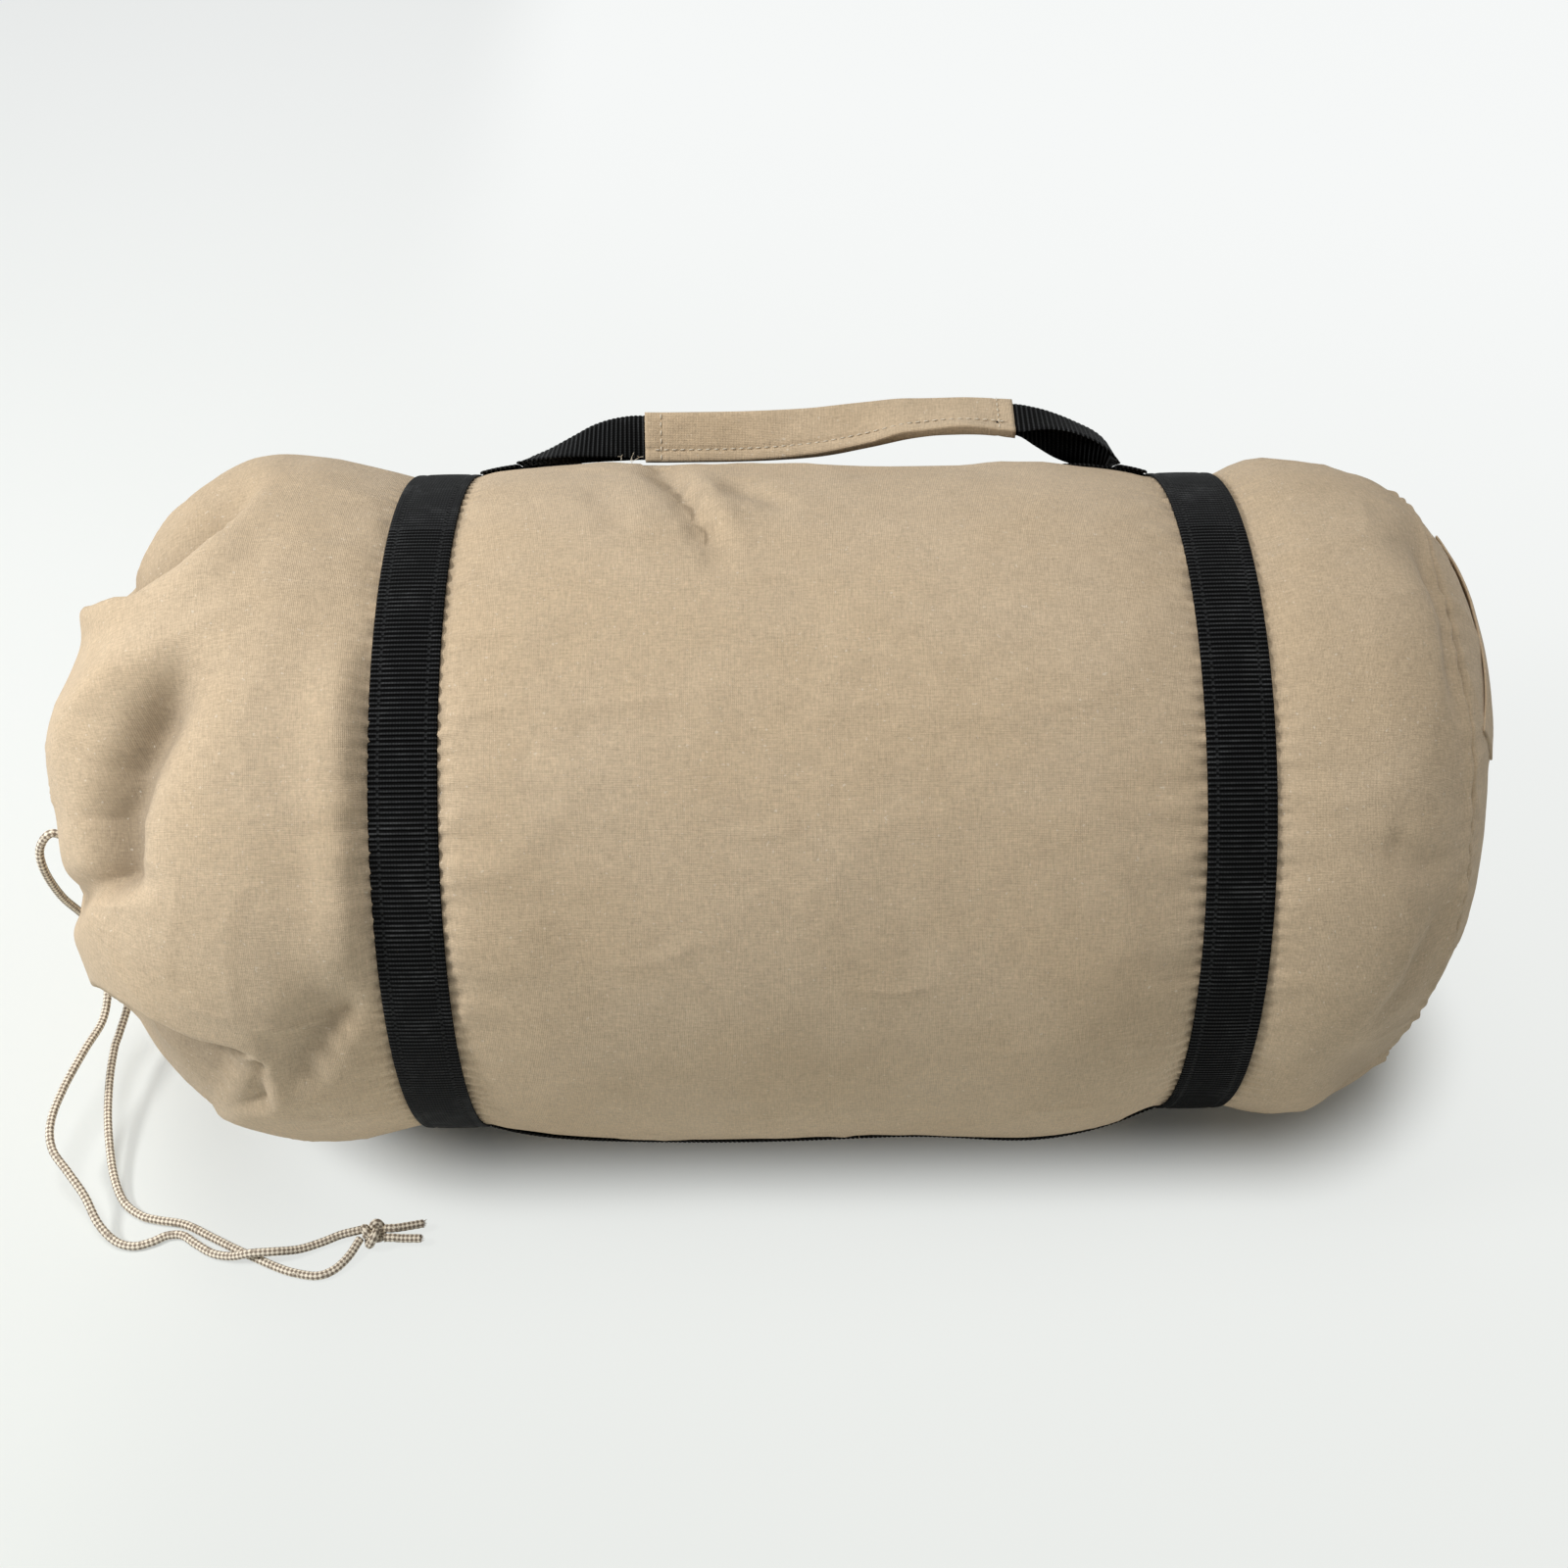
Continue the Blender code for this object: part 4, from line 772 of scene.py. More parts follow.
@dataclass(frozen=True)
class BagShape:
    """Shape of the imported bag, with the sizes of the CAD part."""

    mouth_x: float = -0.283
    end_x: float = 0.2794
    left_band_x: float = -0.1307
    right_band_x: float = 0.1661
    left_bulge_x: float = -0.1817
    right_bulge_x: float = 0.2086
    left_bulge: float = 0.139
    left_band: float = 0.133
    middle: float = 0.138
    right_band: float = 0.1295
    right_bulge: float = 0.134
    seam_radius: float = 0.116
    axis_height: float = 0.1335
    left_power: float = 2.34
    right_power: float = 2.45
    mouth_bulge: float = 0.0015
    band_half: float = 0.0125
    end_lean: float = 0.012
    end_tip_lean: float = 0.016
    hem_edge: float = 0.0289
    swells: tuple = (
        (-0.208, 0.03, -33, 38, 0.006),
        (0.192, 0.025, -33, 38, 0.0038),
        (0.104, 0.036, 128, 40, 0.0048),
        (0.000, 0.07, 128, 40, 0.0024),
        (0.015, 0.09, -33, 40, -0.003),
    )
    folds: tuple = (
        (205, 190, 16, 0.005),
        (262, 255, 14, 0.0055),
    )

    def polar(self, x: Array, radius: Array, angle: Array) -> Array:
        """Points at a radius and angle round the bag's axis."""
        x, radius, angle = np.broadcast_arrays(x, radius, angle)
        height = self.axis_height + radius * np.cos(angle)
        return np.stack((x, -radius * np.sin(angle), height), axis=-1)

    def band_gap(self, x: Array) -> Array:
        """Distance outside the nearer hoop."""
        nearest = np.minimum(abs(x - self.left_band_x), abs(x - self.right_band_x))
        return nearest - self.band_half

    def panel_radius(self, x: Array) -> Array:
        """Radius of the cloth between the two bulges, drawn in at the hoops."""
        half = self.band_half + 0.001
        left_start, right_start = self.between_hoops()
        share = np.clip((x - left_start) / (right_start - left_start), 0, 1)
        level = self.left_band + (self.right_band - self.left_band) * share
        crown = self.middle - (self.left_band + self.right_band) / 2
        inner = level + crown * (1 - (2 * share - 1) ** 6)
        beyond = (x - self.left_band_x + half) / (self.left_bulge_x - self.left_band_x + half)
        left = self.left_band + (self.left_bulge - self.left_band) * self.rise(beyond)
        beyond = (x - self.right_band_x - half) / (self.right_bulge_x - self.right_band_x - half)
        right = self.right_band + (self.right_bulge - self.right_band) * self.rise(beyond)
        return np.where(x < left_start, left, np.where(x > right_start, right, inner))

    @staticmethod
    def rise(share: Array) -> Array:
        """A quarter of a sine wave from 0 to 1."""
        return np.sin(math.pi / 2 * np.clip(share, 0, 1))

    def ring(self, angle: Array, radius: float = 0.13) -> Array:
        """Points round the bag at one radius, where a pattern round it is read."""
        return self.polar(0.0, radius, angle)

    def strap_dip(self, x: Array, angle: Array) -> Array:
        """How far the top strap has sunk into the cloth between the handle's ends."""
        off = np.degrees(abs(self.turned(angle, STRAP_TURN)))
        window = smooth_step(x, -0.085, -0.055) * (1 - smooth_step(x, 0.100, 0.13))
        return 0.0028 * (1 - smooth_step(off, 5.4, 8.2)) * window

    def between_hoops(self) -> tuple[float, float]:
        """Where webbing that lies between the hoops starts and ends."""
        inset = self.band_half + 0.001
        return self.left_band_x + inset, self.right_band_x - inset

    def swell(self, x: Array, angle: Array) -> Array:
        """How far the load swells the cloth; nothing next to the hoops."""
        gap = np.maximum(0.0, self.band_gap(x) - 0.001)
        total = np.zeros(np.broadcast(x, angle).shape)
        for centre, reach, turn, width, height in self.swells:
            off = self.turned(angle, math.radians(turn))
            lump = ((x - centre) / reach) ** 2 + (off / math.radians(width)) ** 2
            total = total + height * np.exp(-lump)
        return total * (1 - bell(gap, 0.01))

    @staticmethod
    def turned(angle: Array, centre: Array | float) -> Array:
        """Signed angle from a centre, within half a turn."""
        return (angle - centre + math.pi) % (2 * math.pi) - math.pi

    @staticmethod
    def dome(
        swing: Array, base: float, reach: float, radius: float, power: float
    ) -> tuple[Array, Array]:
        """X and radius on a rounded end: swing 0 at the bulge, a quarter turn at the tip."""
        x = base + reach * np.sin(swing) ** (2 / power)
        return x, radius * np.maximum(0, np.cos(swing)) ** (2 / power)

    def mouth(self, share: Array, angle: Array) -> Array:
        """Points of the gathered end: share 0 at the bulge, 1 at the hem."""
        reach = self.mouth_x - self.left_bulge_x - self.mouth_bulge
        last = math.acos((self.hem_edge / self.left_bulge) ** (self.left_power / 2))
        swing = last * share
        x, radius = self.dome(swing, self.left_bulge_x, reach, self.left_bulge, self.left_power)
        fade = np.sin(math.pi * 0.92 * share**0.6)
        inward = -self.swell(x, angle) * (1 - share**3)
        for at_bulge, at_hem, width, deepest in self.folds:
            centre = np.radians(at_bulge + (at_hem - at_bulge) * share)
            inward = inward + deepest * fade * bell(self.turned(angle, centre), math.radians(width))
        return self.polar(x + inward * np.sin(swing), radius - inward * np.cos(swing), angle)

    def panel(self, x: Array, angle: Array) -> Array:
        """Points of the side panel between the bulges."""
        radius = self.panel_radius(x) + self.swell(x, angle) - self.strap_dip(x, angle)
        return self.polar(x, radius, angle)

    def closed_end(self, swing: Array, angle: Array) -> Array:
        """Points of the closed end: swing 0 at the bulge, a quarter turn at the tip."""
        x, radius = self.end_dome(swing)
        places = self.polar(x, radius + self.swell(x, angle) * np.cos(swing), angle)
        return places + self.lean(x)

    def end_dome(self, swing: Array) -> tuple[Array, Array]:
        """X and radius on the closed end."""
        reach = self.end_x - self.right_bulge_x
        return self.dome(swing, self.right_bulge_x, reach, self.right_bulge, self.right_power)

    def lean(self, x: Array) -> Array:
        """Shift of the closed end's middle, away and up."""
        share = np.maximum(0, (x - self.right_bulge_x) / (self.end_x - self.right_bulge_x))
        shift = self.end_lean * share**2 + self.end_tip_lean * share**6
        return np.stack((0 * shift, shift * math.cos(VIEWER), shift * math.sin(VIEWER)), axis=-1)

    def seam_swing(self) -> float:
        """Swing at which the end panel is sewn on."""
        return math.acos((self.seam_radius / self.right_bulge) ** (self.right_power / 2))


@dataclass(frozen=True)
class BagCloth:
    """The bag's cloth: gathered end, middle, rounded end and end panel."""

    shape: BagShape
    camera: PhotographCamera
    columns: int = 620
    crowding: float = 0.26
    wall: float = 0.0007
    pucker_count: int = 140
    dome_rows: int = 62
    hoop_rows: tuple[float, ...] = (0.0, 0.0015, 0.003, 0.005, 0.0075, 0.011, 0.016, 0.022)
    lip: tuple[tuple[float, float], ...] = (
        (-0.2745, 0.0288), (-0.2765, 0.0288), (-0.2785, 0.0286),
        (-0.2802, 0.0283), (-0.2818, 0.0282), (-0.2829, 0.0284),
    )
    creases: tuple[Crease, ...] = (
        Crease(((344, 620), (340, 800), (348, 1050)), 100, 20, 0.0052),
        Crease(
            ((172, 630), (140, 660), (108, 692), (82, 728), (68, 765), (60, 805), (58, 845)),
            14, 22, 0.007, 0.5, 0.45,
        ),
        Crease(
            ((202, 634), (184, 676), (156, 710), (134, 744), (113, 787), (98, 838), (101, 926)),
            44, 22, -0.0175, 0.40, 0.08, (0.75, 0.8),
        ),
        Crease(((40, 912), (64, 922), (92, 936)), 22, 24, -0.009, 0.0, 0.6),
        Crease(((92, 622), (112, 618)), 18, 24, 0.006, 0.0, 0.0),
        Crease(((118, 640), (150, 612), (190, 590), (225, 555), (250, 525)), 14, 24, 0.0034),
        Crease(
            ((85, 622), (115, 610), (138, 598), (172, 572), (218, 538), (247, 509), (272, 478)),
            30, 6, -0.015, 0.1, 0.40,
        ),
        Crease(
            ((95, 1015), (132, 1038), (172, 1060), (201, 1072), (232, 1078), (258, 1086)),
            5, 52, -0.016, 0.0, 0.25,
        ),
        Crease(((258, 1084), (266, 1105), (270, 1138)), 5, 32, -0.006, 0.2, 0.2),
        Crease(((290, 1128), (318, 1080), (343, 1042), (376, 1004)), 36, 12, -0.006),
        Crease(
            ((672, 480), (690, 494), (706, 516), (728, 556), (742, 600)), 10, 8, -0.0056, 0, 0.5
        ),
        Crease(((700, 482), (722, 502), (748, 542)), 9, 9, 0.0031),
        Crease(((735, 490), (770, 500), (815, 520)), 7, 9, -0.003),
        Crease(((600, 492), (618, 515), (636, 548)), 9, 9, -0.0018),
        Crease(((745, 550), (748, 640)), 5, 5, 0.0007),
        Crease(((1425, 520), (1458, 570), (1476, 630), (1484, 700), (1486, 745)), 14, 8, -0.0038),
        Crease(((1413, 533), (1450, 570), (1480, 613)), 9, 14, -0.0016),
        Crease(((1400, 853), (1450, 880), (1480, 900)), 20, 20, -0.0022),
        Crease(((1482, 905), (1468, 950), (1438, 1010), (1398, 1062)), 12, 10, -0.003),
        Crease(
            ((1506, 900), (1492, 982), (1464, 1045), (1422, 1096), (1366, 1134), (1318, 1150)),
            40, 40, -0.0095, 0.75, 0.25,
        ),
    )

    def angles(self) -> Array:
        """Angles of the columns, closer together on the side of the viewer."""
        even = circle(self.columns)
        return even - self.crowding * np.sin(even - VIEWER)

    def normals(self, places: Array) -> Array:
        """Outward directions on a grid that closes round its columns."""
        wrapped = np.concatenate((places[:, -1:], places, places[:, :1]), axis=1)
        found = unit(np.cross(wrapped[:, 2:] - wrapped[:, :-2], np.gradient(places, axis=0)))
        outward = places - np.array((0, 0, self.shape.axis_height))
        outward[..., 0] *= 0.4
        facing = np.sign(np.sum(found * outward, axis=-1, keepdims=True).mean())
        return found * facing

    @staticmethod
    def wrinkles(places: Array) -> Array:
        """Small irregular waves and creases of the slack cloth."""
        warp = lattice_noise(places, 0.055, 3)[..., None] * 0.018
        broad = lattice_noise(places + warp, 0.06, 5) * 0.0011
        ridge = 1 - abs(lattice_noise(places + warp, 0.034, 9)) * 2.2
        crisp = np.maximum(ridge, 0) ** 3 * 0.0007
        fine = lattice_noise(places, 0.011, 12) * 0.00022
        return broad + crisp + fine

    def puckers(self, x: Array) -> Array:
        """Gathers where the hoops are sewn on."""
        angle = self.angles()
        gap = np.maximum(self.shape.band_gap(x), 0)
        ring = self.shape.ring(angle)
        jitter = lattice_noise(ring, 0.017, 21) * 2.4
        side = np.sign(x - self.shape.left_band_x) + 2 * np.sign(x - self.shape.right_band_x)
        phase = self.pucker_count * angle + jitter + side
        strong = 0.6 + 0.4 * lattice_noise(ring, 0.03, 22)
        close = np.exp(-gap / 0.0035) * 0.0011 * (np.cos(phase) - 0.1) * strong
        slow = 41 * angle + 3.0 * lattice_noise(ring, 0.05, 23) + side * 2
        patchy = np.clip(0.4 + 1.2 * lattice_noise(ring, 0.06, 24), 0, 1)
        longer = np.exp(-gap / 0.014) * 0.001 * np.cos(slow) * patchy
        return close + longer * smooth_step(gap, 0, 0.006)

    def seam_groove(self, swing: Array) -> Array:
        """Sunk seam with puckers where the end panel is sewn on."""
        angle = self.angles()
        off = (swing - self.shape.seam_swing()) * 0.10
        ring = self.shape.ring(angle, self.shape.seam_radius)
        phase = 66 * angle + 2.6 * lattice_noise(ring, 0.02, 31)
        strong = 0.55 + 0.45 * lattice_noise(ring, 0.04, 32)
        groove = 0.0014 * bell(off + 0.004, 0.0028) - 0.003 * bell(off, 0.0018)
        pucker = 0.0007 * np.exp(-abs(off) / 0.008) * np.cos(phase) * strong
        return groove + pucker

    def pleats(self, share: Array) -> Array:
        """Pleats that run into the drawn mouth."""
        angle = self.angles()
        ring = self.shape.ring(angle)
        drift = lattice_noise(ring, 0.07, 41) * 1.8
        wide = np.cos(17 * angle + drift)
        narrow = np.cos(39 * angle + 2.4 * drift + lattice_noise(ring, 0.03, 42))
        grow = smooth_step(share, 0.80, 1.0)
        shut = 1 - 0.55 * smooth_step(share, 0.9, 1.0)
        deep = 0.0048 * grow * shut
        return deep * (-abs(wide) ** 0.8 + 0.3) + 0.0014 * grow * narrow * shut

    def seen_folds(self, places: Array, normals: Array) -> Array:
        """Folds that the front shows, on the cloth that faces the viewer."""
        rays = unit(self.camera.axes()[3] - places)
        facing = smooth_step(np.sum(rays * normals, axis=-1), -0.35, -0.08)
        seen = self.camera.picture(places)
        total = np.zeros(places.shape[:-1])
        for crease in self.creases:
            total = total + crease.heights(seen)
        return total * facing

    @staticmethod
    def settle(places: Array, lift: Array) -> Array:
        """Flatten the cloth on the floor."""
        settled = places.copy()
        low = np.broadcast_to(lift, places.shape[:-1]) + 0.0006
        over = settled[..., 2] - low
        soft = 0.0012
        flattened = soft * np.log1p(np.exp(np.minimum(over / soft, 30)))
        settled[..., 2] = low + np.where(over > 3 * soft, over, flattened)
        return settled

    def make(
        self, name: str, places: Array, extra: Array, length: float,
        groove: Array | float = 0.0, slack: Array | float = 1.0,
    ) -> None:
        """Displace a grid of places along its normals and make the piece.

        Args:
            name: Name of the piece.
            places: Smooth places by row and column.
            extra: Heights that belong to this piece.
            length: Length of the cloth along the rows.
            groove: Heights of a seam, for its shade.
            slack: Share of the wrinkles and folds that each row takes.
        """
        x = places[..., 0]
        normals = self.normals(places)
        folds = self.seen_folds(places, normals) * slack
        height = extra + self.wrinkles(places) * slack + folds
        gap = self.shape.band_gap(x)
        height = height * smooth_step(gap, -0.004, 0.01) + self.puckers(x)
        lift = 0.0016 * (1 - smooth_step(gap, 0.001, 0.012))
        moved = self.settle(places + normals * height[..., None], lift)
        girth = 2 * math.pi * self.shape.left_bulge
        # Painted shade in folds, seams and beside the hoops, stored on the vertices for the cloth's
        # colour.
        shade = np.clip(self.painted_shade(folds, groove) + self.beside_hoops(places, x), 0, 1)
        mesh = Maker.grid(moved, (girth, length), True, False, shade)
        bmesh.ops.recalc_face_normals(mesh, faces=mesh.faces)
        Maker.finish(mesh, name, "sand_canvas", "bag_cloth", "bag_side_panel", wall=self.wall)

    @staticmethod
    def painted_shade(folds: Array, groove: Array | float) -> Array:
        """Painted shade of each place, from 0 to 1, deepest in folds and seams."""
        deep = np.clip(-folds / 0.015, 0, 1) ** 1.2
        return np.clip(deep + 0.8 * np.clip(-groove / 0.0026, 0, 1), 0, 1)

    def beside_hoops(self, places: Array, x: Array) -> Array:
        """Uneven shade where the cloth goes under a hoop, from 0 to 1."""
        gap = np.maximum(self.shape.band_gap(x), 0)
        uneven = 0.75 + 0.9 * lattice_noise(places, 0.007, 25)
        return bell(gap, 0.0019) * np.clip(uneven, 0, 1)

    def build_gathered_end(self) -> None:
        """Cloth from the hem to the middle of the left hoop."""
        fine = np.linspace(0, 1, 400)
        run = lengths_along(self.shape.mouth(fine, 3.0))
        shares = np.interp(np.linspace(0, run[-1], self.dome_rows), run, fine)[::-1][:, None]
        dome = self.shape.mouth(shares, self.angles())
        stations = np.array((0.15, 0.35, 0.52, 0.66, 0.78, 0.86, 0.92, 0.965, 1.0))
        bare = self.shape.left_band_x - self.shape.band_half
        x = self.shape.left_bulge_x + (bare - self.shape.left_bulge_x) * stations
        x = np.concatenate((x, [bare + 0.003, self.shape.left_band_x - 0.002]))[:, None]
        panel = self.shape.panel(x, self.angles())
        lip_x, lip_radius = np.array(self.lip).T[..., None]
        lip = self.shape.polar(lip_x, lip_radius, self.angles())
        places = np.concatenate((lip, dome, panel))
        pleats = self.pleats(shares)
        tucked = np.minimum(pleats[:1], 0) * np.linspace(0.4, 1.0, len(lip))[:, None]
        extra = np.concatenate((tucked, pleats, np.zeros(panel.shape[:2])))
        slack = np.ones((len(places), 1))
        slack[: len(lip)] = 0
        self.make("bag_gathered_end", places, extra, 0.215, 0.0, slack)

    @staticmethod
    def welt(x: Array, angle: Array) -> Array:
        """Cloth that stands up beside the top strap, on the side of the viewer."""
        off = np.degrees(BagShape.turned(angle, math.radians(-28.6)))
        window = smooth_step(x, -0.09, -0.06) * (1 - smooth_step(x, 0.100, 0.13))
        return 0.0014 * bell(off, np.where(off < 0, 1.8, 6.0)) * window

    def build_middle(self) -> None:
        """Cloth between the hoops."""
        start = self.shape.left_band_x + self.shape.band_half
        end = self.shape.right_band_x - self.shape.band_half
        near = np.array((-0.0105, -0.003, *self.hoop_rows[:-1]))
        inner = np.linspace(start + 0.021, end - 0.021, 42)
        x = np.concatenate((start + near, inner, end - near[::-1]))[:, None]
        places = self.shape.panel(x, self.angles())
        self.make("bag_middle", places, self.welt(x, self.angles()), 0.2718)

    def build_rounded_end(self) -> None:
        """Cloth from the right hoop to the end seam."""
        start = self.shape.right_band_x + self.shape.band_half
        x = start + np.array((-0.0105, -0.003, *self.hoop_rows))[:, None]
        panel = self.shape.panel(x, self.angles())
        broad = np.linspace(0.0, 0.9, 26)[1:] ** 0.8
        close = np.linspace(broad[-1], 1.0, 12)[1:]
        swings = np.concatenate((broad, close))[:, None] * self.shape.seam_swing()
        dome = self.shape.closed_end(swings, self.angles())
        places = np.concatenate((panel, dome))
        extra = np.concatenate((np.zeros(panel.shape[:2]), self.seam_groove(swings)))
        self.make("bag_rounded_end", places, extra, 0.115, extra)

    def build_end_panel(self) -> None:
        """Round panel that closes the bag."""
        first = self.shape.seam_swing()
        steps = np.concatenate((np.linspace(0, 0.10, 9)[:-1], np.linspace(0.10, 1, 34)[:-1]))
        swings = (first + (math.pi / 2 - first) * steps)[:, None]
        places = self.shape.closed_end(swings, self.angles())
        extra = self.seam_groove(swings)
        normals = self.normals(places)
        folds = self.seen_folds(places, normals)
        height = extra + self.wrinkles(places) + folds
        moved = self.settle(places + normals * height[..., None], np.zeros(1))
        mesh = Maker.grid(moved, (0.73, 0.116), True, False, self.painted_shade(folds, extra))
        Maker.seal(mesh, self.shape.end_x - 0.004)
        Maker.finish(
            mesh, "bag_end_round", "sand_canvas", "bag_cloth", "bag_end_panel", wall=self.wall
        )

    def build(self) -> None:
        """Make the four parts of the cloth."""
        self.build_gathered_end()
        self.build_middle()
        self.build_rounded_end()
        self.build_end_panel()


@dataclass(frozen=True)
class Ribbon:
    """Ribbed webbing of one width."""

    width: float
    thickness: float = 0.0012
    rib_pitch: float = 0.00185
    rib_depth: float = 0.0003
    groove_from_edge: float = 0.0037

    def relief(self, length: float, start: float = 0.0) -> tuple[Array, Array, Array, Array]:
        """Ribbed surface of a length of the webbing.

        Args:
            length: Length of the webbing.
            start: Place of its first row.

        Returns:
            Place of each row, as one column, then as one row each the place across and the height
            share from -1 to 1 of each column, and the height of the ribs by row and column.
        """
        half = self.width / 2
        flat, rim = half - 0.0007, half - 0.00015
        top, under = np.linspace(-flat, flat, 17), np.linspace(flat, -flat, 7)
        across = np.concatenate((top, [rim, rim], under, [-rim, -rim]))
        height = np.concatenate((np.ones(17), [0.45, -0.45], -np.ones(7), [-0.45, 0.45]))
        groove = bell((half - abs(across)) - self.groove_from_edge, 0.0006)
        share = np.where(abs(height) == 1, 1 - 0.8 * groove, 0.8)
        count = max(1, round(length / self.rib_pitch))
        at = np.linspace(0, length, count * 4 + 1)
        crowns = np.tile((0.0, 0.75, 1.0, 0.75), count + 1)[: len(at)]
        ribs = crowns[:, None] * share * self.rib_depth
        return (start + at)[:, None], across[None, :], height[None, :], ribs

    def sew(self, places: Array, length: float, name: str, node: str, body: str = "bag") -> Piece:
        """Make a straight length of the webbing from its places by row and column."""
        mesh = Maker.grid(places, (2 * self.width + 0.002, length), True, True)
        return Maker.finish(mesh, name, "black_ribbed_webbing_length", "black_webbing", node, body)


@dataclass(frozen=True)
class Hoops:
    """The two webbing hoops sewn round the bag."""

    shape: BagShape
    ribbon: Ribbon = Ribbon(0.025)

    def build(self) -> None:
        """Make both hoops."""
        self.hoop("left_hoop", "left_band", self.shape.left_band_x, self.shape.left_band)
        self.hoop("right_hoop", "right_band", self.shape.right_band_x, self.shape.right_band)

    def hoop(self, name: str, node: str, x: float, radius: float) -> None:
        """One ribbed hoop."""
        length = 2 * math.pi * radius
        at, across, height, rib = self.ribbon.relief(length)
        angle = at[:-1] / radius
        thickness = self.ribbon.thickness
        half = thickness / 2
        out = radius + 0.0004 + half + height * (half - self.ribbon.rib_depth + rib[:-1])
        sag = 0.0003 * np.cos(across / 0.0125 * math.pi / 2)
        places = self.shape.polar(x + across, out + sag, angle)
        floor = np.where(height > 0, 0.0, thickness)
        places[..., 2] = np.maximum(places[..., 2], np.broadcast_to(floor, places.shape[:2]))
        mesh = Maker.ring(places, length, 2 * self.ribbon.width + 0.002)
        Maker.finish(mesh, name, "sewn_hoop_webbing", "black_webbing", node)


@dataclass(frozen=True)
class Strap:
    """Lengthwise webbing between the hoops, on top and underneath."""

    shape: BagShape
    ribbon: Ribbon = Ribbon(0.025)
    gap: float = 0.0005
    under_turn: float = math.radians(135.5)

    def build(self) -> None:
        """Make both straps."""
        self.strap("top_webbing", "top_strap", STRAP_TURN)
        self.strap("underside_webbing", "underside_strap", self.under_turn)

    def strap(self, name: str, node: str, angle: float) -> None:
        """One strap from hoop to hoop."""
        start, end = self.shape.between_hoops()
        x, across, height, rib = self.ribbon.relief(end - start, start)
        turn = angle + across / self.shape.middle
        base = self.shape.panel_radius(x) + self.shape.swell(x, turn) + self.gap
        base = base - self.shape.strap_dip(x, turn)
        up = (height + 1) / 2 * (self.ribbon.thickness - self.ribbon.rib_depth)
        places = self.shape.polar(x, base + up + rib * (height > 0), turn)
        self.ribbon.sew(places, end - start, name, node)


@dataclass(frozen=True)
class HandleLine:
    """Where the handle runs over the top strap."""

    shape: BagShape
    angle: float = STRAP_TURN
    left_x: float = -0.1025
    right_x: float = 0.1418
    sleeve_x: float = -0.0513
    sleeve_length: float = 0.152
    width: float = 0.0365
    thickness: float = 0.0012
    strap_height: float = 0.0016
    gaps: tuple = (0.15, 0.3, 0.7, 1.1, 1.3, 1.4, 1.4, 2.0, 3.0, 4.6, 7.4, 9.8, 10.4, 8.8)
    falls: tuple = (7.4, 6.0, 4.8, 3.6, 1.9, 0.2)
    leans: tuple = (0,) * 8 + (4, 12, 26, 40, 46, 42, 38, 30, 21, 12, 4, 0)
    opens: tuple = (88, 82, 74, 58, 38, 18) + (0,) * 8 + (14, 32, 46, 56, 66, 88)

    def stations(self) -> Array:
        """X of the stations."""
        rise = self.sleeve_x - self.left_x
        end = self.sleeve_x + self.sleeve_length
        fall = self.right_x - end
        first = self.left_x + rise * np.array((0, 0.06, 0.22, 0.42, 0.60, 0.80, 1.0))
        shares = np.array((0.15, 0.31, 0.46, 0.60, 0.72, 0.85, 1.0))
        grip = self.sleeve_x + self.sleeve_length * shares
        last = end + fall * np.array((0.22, 0.44, 0.64, 0.82, 0.94, 1.0))
        return np.concatenate((first, grip, last))

    @staticmethod
    def through(known_x: Array, known: Array, x: Array) -> Array:
        """A smooth curve through known values that never overshoots them."""
        step = np.diff(known) / np.diff(known_x)
        slope = np.zeros(len(known))
        level = step[1:] * step[:-1] > 0
        steep = 2 * step[1:] * step[:-1] / np.where(level, step[1:] + step[:-1], 1.0)
        slope[1:-1] = np.where(level, steep, 0.0)
        index = np.clip(np.searchsorted(known_x, x) - 1, 0, len(known) - 2)
        span = known_x[index + 1] - known_x[index]
        t = np.clip((x - known_x[index]) / span, 0, 1)
        start, end = known[index], known[index + 1]
        first, last = slope[index] * span, slope[index + 1] * span
        cube = (2 * start - 2 * end + first + last) * t**3
        square = (3 * end - 3 * start - 2 * first - last) * t**2
        return cube + square + first * t + start

    def values(self, x: Array) -> tuple[Array, Array, Array]:
        """Gap below the webbing, lean back and opening of the fold at places along X."""
        at = self.stations()
        below = np.array(self.gaps + self.falls) / 1000
        lean, spread = np.radians(self.leans), np.radians(self.opens)
        return self.through(at, below, x), self.through(at, lean, x), self.through(at, spread, x)

    def strap_top(self, x: Array) -> Array:
        """Radius of the top strap's outer face."""
        return self.shape.panel_radius(x) + self.shape.swell(x, self.angle) + self.strap_height

    def point(self, x: Array, side: Array, height: Array) -> Array:
        """Points by height over the top strap and offset towards the viewer."""
        base = self.shape.polar(x, self.strap_top(x) + height, self.angle)
        cross = np.array((0, -math.cos(self.angle), -math.sin(self.angle)))
        return base + side[..., None] * cross

    def ridge(self, x: Array) -> Array:
        """Height of the fold ridge over the top strap."""
        below, _, spread = self.values(x)
        wing = self.width / 2 - self.thickness * np.cos(spread)
        return below + self.thickness + wing * np.cos(spread)

    def tilted(self, x: Array, across: Array, up: Array, middle: Array) -> Array:
        """Points of a section that leans back about its middle height.

        Args:
            x: Place along the bag.
            across: Offset in the section, positive towards the viewer.
            up: Height over the ridge, negative below it.
            middle: Height of the leaning centre over the ridge.

        Returns:
            The points in the frame.
        """
        _, lean, _ = self.values(x)
        raised = up - middle
        side = across * np.cos(lean) - raised * np.sin(lean)
        rise = across * np.sin(lean) + raised * np.cos(lean)
        return self.point(x, side, self.ridge(x) + rise + middle)


